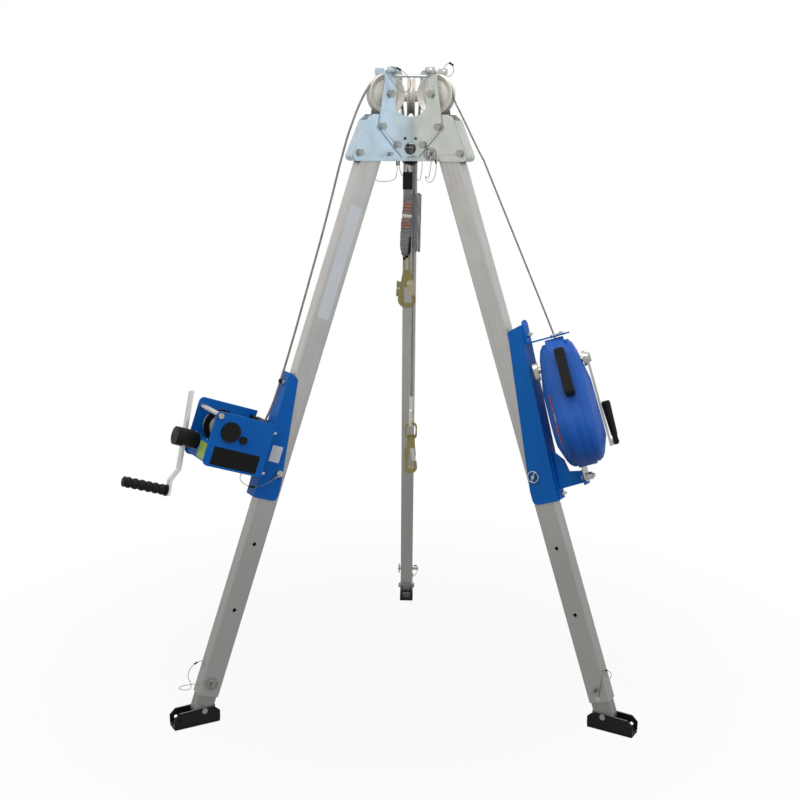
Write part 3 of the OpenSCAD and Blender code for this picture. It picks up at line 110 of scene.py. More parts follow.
class Finish:
    """A node-built material: a Principled shader with colour, roughness and bump from procedural textures."""

    def __init__(self, name, colour, roughness, metallic=0.0):
        self.material = bpy.data.materials.new(name)
        self.material.use_nodes = True
        self.tree = self.material.node_tree
        self.shader = self.tree.nodes["Principled BSDF"]
        self.colour = (*colour, 1)
        self.set("Base Color", self.colour)
        self.set("Roughness", roughness)
        self.set("Metallic", metallic)
        self.place = self.add("ShaderNodeTexCoord").outputs["Object"]

    def set(self, socket, value):
        self.shader.inputs[socket].default_value = value
        return self

    def add(self, kind, **settings):
        node = self.tree.nodes.new(kind)
        for key, value in settings.items():
            setattr(node, key, value)
        return node

    def join(self, output, target):
        self.tree.links.new(output, target)

    def turned(self, frame_matrix):
        """Textures follow this frame's axes instead of the model's."""
        mapping = self.add("ShaderNodeMapping", vector_type="TEXTURE")
        mapping.inputs["Location"].default_value = frame_matrix.translation
        mapping.inputs["Rotation"].default_value = frame_matrix.to_euler()
        self.join(self.place, mapping.inputs["Vector"])
        self.place = mapping.outputs["Vector"]
        return self

    def noise(self, scale, detail=3, stretch=(1, 1, 1)):
        mapping = self.add("ShaderNodeMapping")
        mapping.inputs["Scale"].default_value = stretch
        self.join(self.place, mapping.inputs["Vector"])
        node = self.add("ShaderNodeTexNoise")
        node.inputs["Scale"].default_value = scale
        node.inputs["Detail"].default_value = detail
        self.join(mapping.outputs["Vector"], node.inputs["Vector"])
        return node.outputs["Fac"]

    def wave(self, scale, distortion=0.0, direction="X"):
        node = self.add("ShaderNodeTexWave", bands_direction=direction)
        node.inputs["Scale"].default_value = scale
        node.inputs["Distortion"].default_value = distortion
        self.join(self.place, node.inputs["Vector"])
        return node.outputs["Fac"]

    def coordinate(self, axis):
        parts = self.add("ShaderNodeSeparateXYZ")
        self.join(self.place, parts.inputs[0])
        return parts.outputs[axis]

    def beyond(self, axis, limit):
        """1 where the place along an axis is further from 0 than the limit."""
        size = self.add("ShaderNodeMath", operation="ABSOLUTE")
        self.join(self.coordinate(axis), size.inputs[0])
        test = self.add("ShaderNodeMath", operation="GREATER_THAN")
        self.join(size.outputs[0], test.inputs[0])
        test.inputs[1].default_value = limit
        return test.outputs[0]

    def along(self, axis, start, end):
        """Rises from 0 to 1 between two places along an axis."""
        return map_range(self.tree, self.coordinate(axis), start, end, 0, 1)

    def range(self, value, low, high):
        """Spreads the middle values of a texture from low to high."""
        return map_range(self.tree, value, 0.3, 0.7, low, high)

    def vary(self, value, other, amount=1.0):
        """Mixes the base colour with another one where the value is high."""
        mix = self.add("ShaderNodeMix", data_type="RGBA")
        source = self.shader.inputs["Base Color"]
        if source.is_linked:
            self.join(source.links[0].from_socket, mix.inputs["A"])
        else:
            mix.inputs["A"].default_value = self.colour
        mix.inputs["B"].default_value = (*other, 1)
        self.join(self.range(value, 0, amount), mix.inputs["Factor"])
        self.join(mix.outputs["Result"], source)
        return self

    def rough(self, value, low, high):
        self.join(self.range(value, low, high), self.shader.inputs["Roughness"])
        return self

    def bump(self, value, height, strength=1.0):
        node = self.add("ShaderNodeBump")
        node.inputs["Distance"].default_value = height
        node.inputs["Strength"].default_value = strength
        source = self.shader.inputs["Normal"]
        if source.is_linked:
            self.join(source.links[0].from_socket, node.inputs["Normal"])
        self.join(value, node.inputs["Height"])
        self.join(node.outputs["Normal"], source)
        return self


def plate_finish(name, colour, tint, roughness):
    """Bright plated steel: soft patches of tint, faint rolling marks and fingerprints in the gloss."""
    made = Finish(name, colour, roughness, 1.0)
    made.vary(made.noise(9, 4), tint, 0.8)
    made.vary(made.noise(60, 5), [c * 0.8 for c in colour], 0.35)
    made.rough(made.noise(26, 6), roughness - 0.07, roughness + 0.12)
    return made.bump(made.noise(420, 2), 0.00006)


def paint_finish(name, colour, dark, roughness, grain=900, height=0.00008):
    """Powder coat or moulded plastic: a fine skin, with slight clouds of shade."""
    made = Finish(name, colour, roughness)
    made.vary(made.noise(14, 4), dark, 0.55)
    made.rough(made.noise(40, 5), roughness - 0.06, roughness + 0.1)
    return made.bump(made.noise(grain, 2), height)


def leg_finish(name, side, shade):
    """Extruded aluminium of a shade, with die lines along the leg and scuffs, and a painted shade that
    darkens it towards the foot.
    """
    base, line, scuff = (0.61, 0.60, 0.577), (0.51, 0.50, 0.485), (0.66, 0.645, 0.61)
    shade_free_above, shade_full_below, painted_foot_shade = 1.3, 0.1, 0.66
    made = Finish(f"{name}_{side}", [c * shade for c in base], 0.42, 0.78).turned(leg_frame(side))
    made.vary(made.noise(170, 3, (1, 1, 0.012)), [c * shade for c in line], 0.8)
    made.vary(made.noise(22, 5), [c * shade for c in scuff], 0.5)
    # Painted shade: the base colour darkens down the leg towards the foot.
    made.vary(made.along("Z", shade_free_above, shade_full_below), [c * shade * painted_foot_shade for c in base], 0.9)
    made.rough(made.noise(60, 4, (1, 1, 0.15)), 0.36, 0.52)
    return made.bump(made.noise(900, 1, (1, 1, 0.01)), 0.00005)


def web_finish(name, colour, dark, matrix):
    """Woven webbing: ribs across the strap, crossed by finer yarns."""
    made = Finish(name, colour, 0.86).turned(matrix)
    made.set("Sheen Weight", 0.3)
    ribs = made.wave(110, direction="Z")
    yarns = made.wave(260)
    made.vary(ribs, dark, 0.5)
    made.vary(made.noise(36, 4), dark, 0.6)
    made.bump(ribs, 0.0003, 0.6)
    return made.bump(yarns, 0.0002, 0.4)


ZINC = plate_finish("bright_zinc", (0.64, 0.66, 0.675), (0.67, 0.66, 0.57), 0.3)
BOLT = plate_finish("bolt_steel", (0.40, 0.40, 0.39), (0.30, 0.29, 0.265), 0.17)
# Painted shade: a near-black metal for the head's inner faces, where shade falls.
PAINTED_SHADE_INSIDE = plate_finish("painted_shade_inside", (0.10, 0.10, 0.10), (0.06, 0.06, 0.06), 0.6)
# Painted reflection: the head's zinc is bluish, and it turns warm towards the right along x.
REFLECTION_TINTED_ZINC = plate_finish("zinc_painted_reflection", (0.55, 0.68, 0.80), (0.58, 0.67, 0.71), 0.3)
REFLECTION_TINTED_ZINC.vary(REFLECTION_TINTED_ZINC.along("X", -0.10, 0.18), (0.62, 0.645, 0.59), 0.9)
STEEL = plate_finish("zinc_steel", (0.58, 0.59, 0.59), (0.62, 0.60, 0.51), 0.27)
GOLD = plate_finish("yellow_zinc", (0.35, 0.305, 0.115), (0.33, 0.30, 0.17), 0.28)
PALE_GOLD = plate_finish("pale_zinc", (0.57, 0.52, 0.29), (0.52, 0.485, 0.34), 0.26)
CAST = plate_finish("cast_alloy", (0.86, 0.825, 0.75), (0.76, 0.725, 0.655), 0.46)
CAST.set("Metallic", 0.4)
BLUE = paint_finish("blue_paint", (0.002, 0.135, 0.52), (0.002, 0.105, 0.43), 0.42)
CASE_BLUE = paint_finish("blue_plastic", (0.005, 0.108, 0.49), (0.004, 0.08, 0.40), 0.44, 1400, 0.00006)
BLACK = paint_finish("black_plastic", (0.006, 0.006, 0.0065), (0.013, 0.0125, 0.012), 0.48, 1100, 0.0001)
RUBBER = paint_finish("rubber", (0.006, 0.006, 0.006), (0.014, 0.013, 0.012), 0.72, 700, 0.0002)
SHOE = paint_finish("shoe_enamel", (0.006, 0.0065, 0.007), (0.02, 0.021, 0.02), 0.34, 800, 0.0001)
ROPE = Finish("wire_rope", (0.33, 0.32, 0.30), 0.46, 0.8)
ROPE.vary(ROPE.noise(70, 4), (0.17, 0.155, 0.135), 0.8)
ROPE.bump(ROPE.noise(2200, 1), 0.00008)
LEG = {side: leg_finish("leg_alloy", side, 1.0) for side in SIDES}
INNER_LEG = {side: leg_finish("inner_alloy", side, 0.78) for side in SIDES}
# Painted highlight: a lighter grey for the upward faces of the shoes' cheek edges.
SHOE_EDGE_HIGHLIGHT = paint_finish("shoe_edge_highlight", (0.14, 0.15, 0.15), (0.07, 0.08, 0.08), 0.3, 800, 0.0001)
for finish, level in ((BLUE, 0.22), (CASE_BLUE, 0.35), (BLACK, 0.2), (RUBBER, 0.25), (SHOE, 0.2)):
    finish.set("Specular IOR Level", level)


def look(finish, *names):
    """Puts a finish on CAD nodes."""
    for name in names:
        data = nodes[name].data
        data.materials.clear()
        data.materials.append(finish.material)


def each_side(stem):
    """The names of a node that each leg has."""
    return [f"{stem}_{side}" for side in SIDES]


look(REFLECTION_TINTED_ZINC, "head_plates", "sheave_plates")
look(ZINC, "head_spacers", "crank_arm", "block_crank_arm", "swivel_gate")
look(BOLT, "head_bolts", "sheave_axles", *each_side("lock_pin"), *each_side("leg_pin"))
look(STEEL, "worm_shaft", "worm_wheel", "winch_pin", "block_pin", "block_drum", "block_crank_shaft")
look(GOLD, "lanyard_hook", "swivel_eye", "swivel_hook")
look(PALE_GOLD, "lanyard_gate")
look(CAST, "rope_ferrule", *each_side("sheave"))
look(BLUE, "winch_bracket", "winch_frame", "block_bracket", "block_guide")
look(CASE_BLUE, "block_case_back", "block_case_front")
look(BLACK, "rope_guide", "rope_sleeve", "winch_hardware", "winch_drum", "crank_hub", "crank_grip",
     "block_handle", "block_grip")
look(RUBBER, *each_side("foot_pad"))
look(SHOE, *each_side("foot_shoe"))
for side in SIDES:
    look(LEG[side], "outer_leg_" + side)
    look(INNER_LEG[side], "inner_leg_" + side)


def islands(data):
    """Lists of polygons that hang together, by the places of their corners."""
    parent = {}

    def root(key):
        while parent[key] != key:
            parent[key] = parent[parent[key]]
            key = parent[key]
        return key

    keys = [tuple(round(c, 6) for c in v.co) for v in data.vertices]
    for key in keys:
        parent[key] = key
    for polygon in data.polygons:
        first = root(keys[polygon.vertices[0]])
        for corner in polygon.vertices[1:]:
            parent[root(keys[corner])] = first
    groups = {}
    for polygon in data.polygons:
        groups.setdefault(root(keys[polygon.vertices[0]]), []).append(polygon)
    return list(groups.values())


def look_by_part(name, finish, test, matrix):
    """Another finish for those of a node's solids that the test picks by middle and size."""
    data = nodes[name].data
    data.materials.append(finish.material)
    inverse = matrix.inverted()
    for group in islands(data):
        corners = [inverse @ data.vertices[i].co for polygon in group for i in polygon.vertices]
        low = Vector([min(c[k] for c in corners) for k in range(3)])
        high = Vector([max(c[k] for c in corners) for k in range(3)])
        if test((low + high) / 2, high - low):
            for polygon in group:
                polygon.material_index = 1


FASTENER_SIZE, GUIDE_FASTENER_SIZE = 0.075, 0.05
WINCH_BACK, WINCH_FRONT = 0.07, 0.2


def is_fastener(middle, size):
    return max(size) < FASTENER_SIZE


def is_guide_fastener(middle, size):
    return max(size) < GUIDE_FASTENER_SIZE


def is_winch_bolt(middle, size):
    """Bolts at the back of the winch and on the bracket, and the rod at its top front corner."""
    return middle.x < WINCH_BACK or middle.x > WINCH_FRONT


for side in SIDES:
    look_by_part("foot_shoe_" + side, BOLT, is_fastener, arm_frame(side))
look_by_part("winch_hardware", STEEL, is_winch_bolt, leg_frame("left"))
look_by_part("block_bracket", STEEL, is_fastener, leg_frame("right"))
look_by_part("block_guide", STEEL, is_guide_fastener, leg_frame("right"))


WELD_DISTANCE = 0.00001
SHARP_ANGLE = math.radians(38)


def soften(width, *names):
    """A small round on the sharp edges of CAD nodes, so that they catch the light."""
    for name in names:
        weld = nodes[name].modifiers.new("weld", "WELD")
        weld.merge_threshold = WELD_DISTANCE
        bevel = nodes[name].modifiers.new("edge", "BEVEL")
        bevel.width = width
        bevel.segments = 2
        bevel.limit_method = "ANGLE"
        bevel.angle_limit = SHARP_ANGLE
        bevel.harden_normals = True


soften(0.0018, "head_bolts", "sheave_axles")
soften(0.0006, "head_plates", "sheave_plates", "winch_frame", "winch_bracket", "block_bracket",
       "block_guide", "lanyard_hook", "lanyard_gate", "swivel_hook", "swivel_gate", "crank_arm")
soften(0.0012, "block_case_back", "block_case_front", "block_handle", "crank_hub", "rope_sleeve",
       *each_side("foot_shoe"), *each_side("foot_pad"))


# Mesh helpers
CREASE, STRAP_CREASE, PACK_CREASE = 35, 60, 70


def add_piece(name, skin, finish, body, crease=None):
    """A smooth mesh piece on a body, if one is given, with creases beyond an angle in degrees, if given."""
    verts, faces = skin
    mesh = bpy.data.meshes.new(name)
    mesh.from_pydata([tuple(v) for v in verts], [], faces)
    mesh.update()
    mesh.materials.append(finish.material)
    mesh.shade_smooth()
    if crease:
        mesh.set_sharp_from_angle(angle=math.radians(crease))
    piece = bpy.data.objects.new(name, mesh)
    scene.collection.objects.link(piece)
    if body:
        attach(piece, body)
    return piece


def smooth_path(points, step):
    """Points about step apart on a smooth curve through the given ones."""
    points = [Vector(p) for p in points]
    ends = [2 * points[0] - points[1], *points, 2 * points[-1] - points[-2]]
    path = []
    for p0, p1, p2, p3 in zip(ends, ends[1:], ends[2:], ends[3:]):
        count = max(1, round((p2 - p1).length / step))
        for i in range(count):
            t = i / count
            path.append(0.5 * (2 * p1 + (p2 - p0) * t + (2 * p0 - 5 * p1 + 4 * p2 - p3) * t ** 2
                               + (3 * p1 - p0 - 3 * p2 + p3) * t ** 3))
    return [*path, points[-1]]


def path_frames(path):
    """Two directions across the path at each point, carried along without twist."""
    heading = [(path[min(i + 1, len(path) - 1)] - path[max(i - 1, 0)]).normalized() for i in range(len(path))]
    across = heading[0].orthogonal().normalized()
    frames = []
    for along in heading:
        across = (across - across.dot(along) * along).normalized()
        frames.append((across, along.cross(across)))
    return frames


def loft(rings):
    """Vertices and faces of a closed skin over rings of equal size, capped at both ends."""
    count = len(rings[0])
    verts = [v for ring in rings for v in ring]
    faces = [tuple(reversed(range(count)))]
    for i in range(len(rings) - 1):
        for k in range(count):
            a, b = i * count + k, i * count + (k + 1) % count
            faces.append((a, b, b + count, a + count))
    faces.append(tuple(range(len(verts) - count, len(verts))))
    return verts, faces


def rope_skin(path, diameter, strands=6, lay=6.5, sides=18):
    """Rings of a laid rope: round strands that twist about the path."""
    rings = []
    run = 0.0
    for i, (point, (u, v)) in enumerate(zip(path, path_frames(path))):
        run += (point - path[i - 1]).length if i else 0.0
        twist = 2 * math.pi * run / (lay * diameter)
        ring = []
        for k in range(sides):
            angle = 2 * math.pi * k / sides
            lobe = abs(math.cos(strands / 2 * (angle - twist)))
            radius = diameter / 2 * (0.84 + 0.16 * lobe)
            ring.append(point + radius * (math.cos(angle) * u + math.sin(angle) * v))
        rings.append(ring)
    return loft(rings)


# Ropes: one smooth run each, from its drum over the sheave to its hanging end
WINCH_ROPE_D, BLOCK_ROPE_D = 0.006, 0.0048
ROPE_STEP = 0.0028
WINCH_LEG = [(182, 0, 831.5), (160, 0, 829.5), (130, 0, 827), (100, 0, 825), (84, 0, 823.7), (76, 0, 823.6),
             (70, 0, 826.5), (67, 0, 832), (66, 0, 840), (63.5, 0, 855), (60, 0, 880), (58, 0, 910),
             (57, 0, 960), (57, 0, 1020), (58, 0, 1100), (60, 0, 1180), (62, 0, 1260), (64, 0, 1340),
             (67, 0, 1410), (70, 0, 1470), (73, 0, 1520), (74.5, 0, 1550)]
WINCH_CLIMB = [(205, 0, 1505), (197, 0, 1531), (188, 0, 1558), (177, 0, 1586), (167, 0, 1610),
               (155, 0, 1636), (142, 0, 1660), (131, 0, 1677)]
WINCH_DROP = [(27.5, 0, 1655), (24.5, 0.2, 1625), (18, 0.9, 1585), (11.5, 1.7, 1550), (8.2, 2.2, 1520),
              (8.2, 2.2, 1470), (8.2, 2.2, 1438)]
BLOCK_LEG = [(149.5, 0, 1052), (148.2, 0, 1070), (140, 0, 1140), (130, 0, 1220), (120, 0, 1300),
             (110, 0, 1380), (100, 0, 1460), (90, 0, 1540), (88.5, 0, 1552)]
BLOCK_CLIMB = [(206, 0, 1522), (180, 0, 1567), (154, 0, 1612), (133, 0, 1648)]
BLOCK_DROP = [(27.5, 0, 1655), (25, 2, 1630), (20, 6.5, 1600), (11, 12.8, 1565), (5, 16.3, 1540),
              (2.5, 17.6, 1518), (2.5, 17.6, 1470), (2.5, 17.6, 1380), (2.5, 17.6, 1260), (2.5, 17.6, 1140),
              (2.5, 17.6, 1020), (2.5, 17.6, 900), (2.5, 17.6, 815)]


def in_frame(matrix, points_mm):
    """Points in mm in a frame, as places in the model."""
    return [matrix @ Vector([c / 1000 for c in p]) for p in points_mm]


def over_sheave(side, diameter, first, last, steps):
    """Points of the rope's arc in the sheave's groove."""
    radius = GROOVE_FLOOR + diameter / 2 + GROOVE_GAP
    points = []
    for i in range(steps + 1):
        angle = math.radians(first + (last - first) * i / steps)
        place = (SHEAVE_R + radius * math.cos(angle), 0, SHEAVE_Z + radius * math.sin(angle))
        points.append(arm_frame(side) @ Vector(place))
    return points


def hang_rope(name, side, leg_points, climb, arc, drop, diameter, stands_for):
    """A rope along a leg and over its sheave, in place of the rope's CAD parts."""
    arm = arm_frame(side)
    points = [*in_frame(leg_frame(side), leg_points), *in_frame(arm, climb), *arc, *in_frame(arm, drop)]
    path = smooth_path(points, ROPE_STEP)
    rope = add_piece(name, rope_skin(path, diameter), ROPE, None)
    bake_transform(rope)
    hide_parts(*stands_for)


hang_rope("winch_rope", "left", WINCH_LEG, WINCH_CLIMB, over_sheave("left", WINCH_ROPE_D, 38, 176, 14),
          WINCH_DROP, WINCH_ROPE_D, ("winch_rope_leg", "winch_rope_head"))
hang_rope("block_rope", "right", BLOCK_LEG, BLOCK_CLIMB, over_sheave("right", BLOCK_ROPE_D, 22, 176, 16),
          BLOCK_DROP, BLOCK_ROPE_D, ("block_rope_leg", "block_rope_head"))


def wind_drum():
    """The rope's turns on the winch drum, one helix."""
    drum_n, drum_s, radius, pitch, first_t, turns = 0.183, 0.796, 0.03125, 0.0067, 0.052, 7
    steps = 64
    path = []
    for i in range(turns * steps + 1):
        angle = math.pi / 2 + 2 * math.pi * i / steps
        place = (drum_n + radius * math.cos(angle), first_t - pitch * i / steps,
                 drum_s + radius * math.sin(angle))
        path.append(leg_frame("left") @ Vector(place))
    winding = add_piece("winch_coil", rope_skin(path, WINCH_ROPE_D, sides=12), ROPE, "drum")
    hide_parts("winch_winding")


wind_drum()


# Plates and blank labels
def round_outline(width, height, radius, steps=6):
    """Corner points of a rectangle with round corners, about its middle."""
    points = []
    for corner, (sx, sy) in enumerate(((1, 1), (-1, 1), (-1, -1), (1, -1))):
        for i in range(steps + 1):
            angle = math.pi / 2 * (corner + i / steps)
            points.append((sx * (width / 2 - radius) + radius * math.cos(angle),
                           sy * (height / 2 - radius) + radius * math.sin(angle)))
    return points


def plate_piece(name, outline, thickness, matrix, finish, body, edge):
    """A flat plate: an outline in the frame's x and y, its back at z = 0, with a rounded front edge."""
    half_w = max(abs(p[0]) for p in outline)
    half_h = max(abs(p[1]) for p in outline)
    rings = []
    for z, inset in ((0, 0), (thickness - edge, 0), (thickness, edge)):
        scale_x, scale_y = 1 - inset / half_w, 1 - inset / half_h
        rings.append([matrix @ Vector((x * scale_x, y * scale_y, z)) for x, y in outline])
    add_piece(name, loft(rings), finish, body, CREASE)


def facing(origin, across, up):
    """A frame at the origin whose x runs across and whose y runs up, z out of the face."""
    x = across.normalized()
    y = (up - up.dot(x) * x).normalized()
    return Matrix.Translation(origin) @ Matrix((x, y, x.cross(y))).transposed().to_4x4()


def leg_face(side, place, across):
    """A frame on a face of a leg or of what it carries, given in the leg's own directions."""
    leg = leg_frame(side)
    turn = leg.to_3x3()
    return facing(leg @ Vector(place), turn @ Vector(across), turn @ Vector(UP))


OUT, IN, ACROSS, UP = (1, 0, 0), (-1, 0, 0), (0, 1, 0), (0, 0, 1)
VINYL = paint_finish("vinyl_white", (0.74, 0.75, 0.76), (0.66, 0.66, 0.66), 0.4, 300, 0.00003)
VINYL_DARK = paint_finish("vinyl_black", (0.006, 0.006, 0.0065), (0.012, 0.012, 0.012), 0.34, 300, 0.00003)
VINYL_DARK.set("Specular IOR Level", 0.15)
VINYL_LIME = paint_finish("vinyl_lime", (0.30, 0.46, 0.075), (0.24, 0.38, 0.06), 0.4, 300, 0.00003)
LABEL, LABEL_EDGE = 0.0004, 0.0001


def add_labels():
    """Blank labels on the left leg, its bracket and the winch: place in the leg's frame, size and corner."""
    for name, place, across, size, finish in (
            ("leg_label", (0.001, TUBE_WIDTH / 2, 1.296), IN, (0.034, 0.310, 0.003), VINYL),
            ("bracket_label", (0.0195, 0.0245, 0.762), IN, (0.031, 0.044, 0.002), VINYL),
            ("winch_label", (0.1485, 0.070, 0.728), IN, (0.131, 0.048, 0.002), VINYL_DARK),
            ("winch_front_label", (0.226, 0.032, 0.729), ACROSS, (0.058, 0.044, 0.002), VINYL_LIME)):
        face = leg_face("left", place, across)
        plate_piece(name, round_outline(*size), LABEL, face, finish, "leg_left", LABEL_EDGE)


add_labels()


# Wire lanyards of the pins, each a short length with a ferrule
WIRE = Finish("lanyard_wire", (0.36, 0.34, 0.30), 0.42, 0.85)
WIRE.vary(WIRE.noise(120, 3), (0.20, 0.18, 0.15), 0.7)
WIRE.bump(WIRE.wave(900, distortion=2.0), 0.0001, 0.5)
WIRE_D, WIRE_STEP = 0.0018, 0.003


def wire_piece(name, points, body):
    """A thin wire on a smooth curve through points, with its path."""
    path = smooth_path(points, WIRE_STEP)
    return add_piece(name, rope_skin(path, WIRE_D, lay=9, sides=10), WIRE, body), path


def bent_wire(name, points):
    """A wire on a smooth curve through points, on no body; gives its path."""
    piece, path = wire_piece(name, points, None)
    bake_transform(piece)
    return path


def round_piece(name, matrix, shape, sides, finish, body):
    """A round piece about a frame's z axis, from its heights and radii."""
    turns = [(math.cos(2 * math.pi * k / sides), math.sin(2 * math.pi * k / sides)) for k in range(sides)]
    rings = [[matrix @ Vector((r * c, r * s, z)) for c, s in turns] for z, r in shape]
    add_piece(name, loft(rings), finish, body, CREASE)


def ferrule(name, path, share, length, body, finish, radius=0.0024):
    """A crimped sleeve on a wire, at a share of its way, with rounded ends."""
    middle = round(share * (len(path) - 1))
    along = (path[min(middle + 1, len(path) - 1)] - path[max(middle - 1, 0)]).normalized()
    side = along.orthogonal()
    half = [(0.1, 0.86), (0.18, 1), (0.44, 1), (0.5, 0.7)]
    outline = [(-reach, swell) for reach, swell in reversed(half)] + half
    shape = [(reach * length, swell * radius) for reach, swell in outline]
    round_piece(name, facing(path[middle], side, along.cross(side)), shape, 14, finish, body)


def screw(name, matrix, body):
    """A round-headed screw on a washer, standing on the frame's x y plane."""
    radius, height, washer = 0.0045, 0.0035, 0.0012
    outline = [(0, 1), (0.5, 1), (0.85, 0.8), (1, 0.45), (0.8, 0.3)]
    shape = [(0, 1.7 * radius), (washer, 1.7 * radius)]
    shape += [(washer + reach * height, share * radius) for reach, share in outline]
    round_piece(name, matrix, shape, 24, STEEL, body)


def leg_pin_lanyard(side, points, hold, share):
    """A wire from a leg pin's ring round the leg to a screw on the tube; points in the leg's frame, mm."""
    leg = leg_frame(side)
    body = "leg_" + side
    path = bent_wire("leg_pin_wire_" + side, in_frame(leg, points))
    ferrule("leg_pin_crimp_" + side, path, share, 0.011, body, BLACK)
    screw("leg_pin_screw_" + side, leg_face(side, hold, OUT), body)


leg_pin_lanyard("left", [(14, 26.5, 120), (24, 28, 119), (38, 27, 116), (58, 22, 110), (76, 14, 101),
                         (83, 6, 92), (76, -1, 85), (58, -5, 83), (43, -9, 88), (46, -12, 100),
                         (57, -16, 116), (57, -19, 136), (46, -22, 152), (30, -23, 162), (12, -23.5, 166)],
                (0.009, -TUBE_WIDTH / 2, 0.166), 0.86)
leg_pin_lanyard("right", [(15, 26.5, 120), (26, 28, 128), (36, 22, 142), (37, 8, 156), (37, -8, 163),
                          (35, -19, 160), (26, -23, 144), (15, -23.5, 122), (5, -23.5, 103), (0, -23.5, 94)],
                (0.0, -TUBE_WIDTH / 2, 0.092), 0.42)
leg_pin_lanyard("rear", [(13, 26.5, 112), (26, 27, 104), (38, 20, 96), (44, 4, 92), (40, -18, 96),
                         (28, -34, 103), (12, -38, 101), (0, -32, 92), (-6, -24, 84)],
                (-0.006, -TUBE_WIDTH / 2, 0.092), 0.62)


def add_winch_pin_wire():
    """From the bracket pin's head, hanging in a bow, back to the bracket's web."""
    leg = leg_frame("left")
    points = [(-5, 34, 712), (4, 37, 704), (16, 38, 692), (32, 37, 678), (48, 34, 668), (66, 28, 663),
              (82, 19, 666), (90, 7, 674), (86, -4, 685), (72, -9, 690), (58, -8, 688), (48, -6, 684)]
    path = bent_wire("winch_pin_wire", in_frame(leg, points))
    ferrule("winch_pin_crimp", path, 0.07, 0.014, "winch_pin", WIRE, 0.0026)
    ferrule("winch_pin_crimp_low", path, 0.46, 0.016, "leg_left", BLACK, 0.003)


add_winch_pin_wire()


def lock_pin_wire(side, points, share):
    """A wire from a lock pin's ring to the head; points in the arm's frame, mm."""
    arm = arm_frame(side)
    path = bent_wire("lock_pin_wire_" + side, in_frame(arm, points))
    ferrule("lock_pin_crimp_" + side, path, share, 0.012, "head", BLACK)


lock_pin_wire("left", [(86, -31, 1499), (90, -33, 1480), (97, -31, 1456), (95, -29, 1445), (85, -28, 1438),
                       (72, -25, 1436), (62, -14, 1437), (57, 4, 1440), (56, 20, 1447), (56, 28, 1464),
                       (58, 31, 1482), (59, 31, 1496)], 0.93)
lock_pin_wire("right", [(89, -31, 1506), (97, -33, 1494), (99, -33, 1472), (93, -33, 1448), (80, -32, 1436),
                        (67, -30, 1444), (58, -16, 1452), (52, 4, 1447), (48, 20, 1452), (48, 27, 1472),
                        (50, 29, 1496)], 0.1)
lock_pin_wire("rear", [(86, -31, 1499), (90, -33, 1480), (96, -31, 1458), (94, -29, 1448), (85, -28, 1441),
                       (72, -25, 1439), (62, -14, 1440), (57, 4, 1442), (56, 20, 1449), (56, 28, 1465),
                       (58, 31, 1482), (59, 31, 1496)], 0.93)


def head_wire(name, points_mm, share):
    """A loop of wire that stays with the head; points from the tripod axis, mm."""
    piece, path = wire_piece(name, in_frame(Matrix.Translation(AXIS), points_mm), "head")
    ferrule(name + "_crimp", path, share, 0.014, "head", BLACK, 0.0028)


head_wire("head_wire_left", [(-52, -72, 1733), (-40, -76, 1730), (-24, -79, 1722), (-9, -79, 1709),
                             (-1, -78, 1694), (-2, -77, 1679), (-11, -77, 1669), (-24, -78, 1670),
                             (-38, -80, 1682), (-52, -83, 1700), (-61, -82, 1714), (-66, -76, 1722)], 0.12)
head_wire("head_wire_right", [(86, -14, 1733), (92, -16, 1741), (101, -18, 1746), (110, -20, 1740),
                              (113, -21, 1728), (107, -22, 1716), (97, -21, 1711), (88, -18, 1716)], 0.3)


# Shock absorber: a sewn pack, its loop, and the spare webbing in a concertina beside it
WEB = web_finish("absorber_web", (0.26, 0.245, 0.245), (0.15, 0.14, 0.145), LANYARD)
STRAP = web_finish("webbing_grey", (0.10, 0.098, 0.105), (0.06, 0.058, 0.064), LANYARD)
STRAP.vary(STRAP.beyond("Y", 0.0113), (0.19, 0.185, 0.215), 0.8)
THREAD = paint_finish("orange_thread", (0.85, 0.28, 0.13), (0.68, 0.20, 0.09), 0.75, 2400, 0.0003)
CREAM = paint_finish("cream_tape", (0.72, 0.66, 0.55), (0.58, 0.53, 0.44), 0.8, 2000, 0.0002)
# Height, middle, half width and half depth of the pack, mm in the lanyard's frame; it leans to the left
PACK_RINGS = [(1416.2, 2.4, 9.6, 8.8), (1413, 2.6, 11.2, 11), (1407, 2.8, 12.4, 13),
              (1400, 2.6, 12.9, 14.2), (1386, 1.8, 13.2, 14.4), (1368, 0.8, 13.8, 14.5),
              (1354, 0, 14.2, 14.3), (1344, -0.6, 13.2, 13.2), (1338, -1.1, 14.6, 14.4),
              (1326, -2.0, 15.2, 14.7), (1306, -3.0, 15.0, 14.4), (1288, -3.8, 15.1, 14.6),
              (1270, -4.2, 15.2, 14.6), (1256, -3.8, 14.6, 14.0), (1246, -3.0, 13.2, 12.8),
              (1240, -2.4, 12.0, 11.4), (1237, -2.2, 10.8, 9.6)]
PACK_LEVELS = 90
PACK_CORNER = 0.45


def in_lanyard(x, y, z):
    """A place in mm in the lanyard's frame."""
    return LANYARD @ Vector((x / 1000, y / 1000, z / 1000))


def pack_shape(z):
    """Middle, half width and half depth of the pack at a height, mm."""
    for (z0, *upper), (z1, *lower) in zip(PACK_RINGS, PACK_RINGS[1:]):
        if z1 <= z <= z0:
            f = (z0 - z) / (z0 - z1)
            return [a + (b - a) * f for a, b in zip(upper, lower)]
    return PACK_RINGS[0][1:]


def pack_ring(z, shape, proud=0.0, tilt=0.0, count=52):
    """A ring of the sewn pack: a rectangle with soft corners, slightly puckered."""
    middle, half_x, half_y = shape
    ring = []
    for k in range(count):
        angle = 2 * math.pi * k / count
        c, s = math.cos(angle), math.sin(angle)
        pucker = 0.3 * math.sin(z * 0.55 + 3 * angle) + 0.25 * math.sin(z * 0.21 - 2 * angle)
        x = math.copysign(abs(c) ** PACK_CORNER, c) * (half_x + pucker + proud)
        y = math.copysign(abs(s) ** PACK_CORNER, s) * (half_y + pucker + proud)
        ring.append(in_lanyard(middle + x, y, z + tilt * x))
    return ring


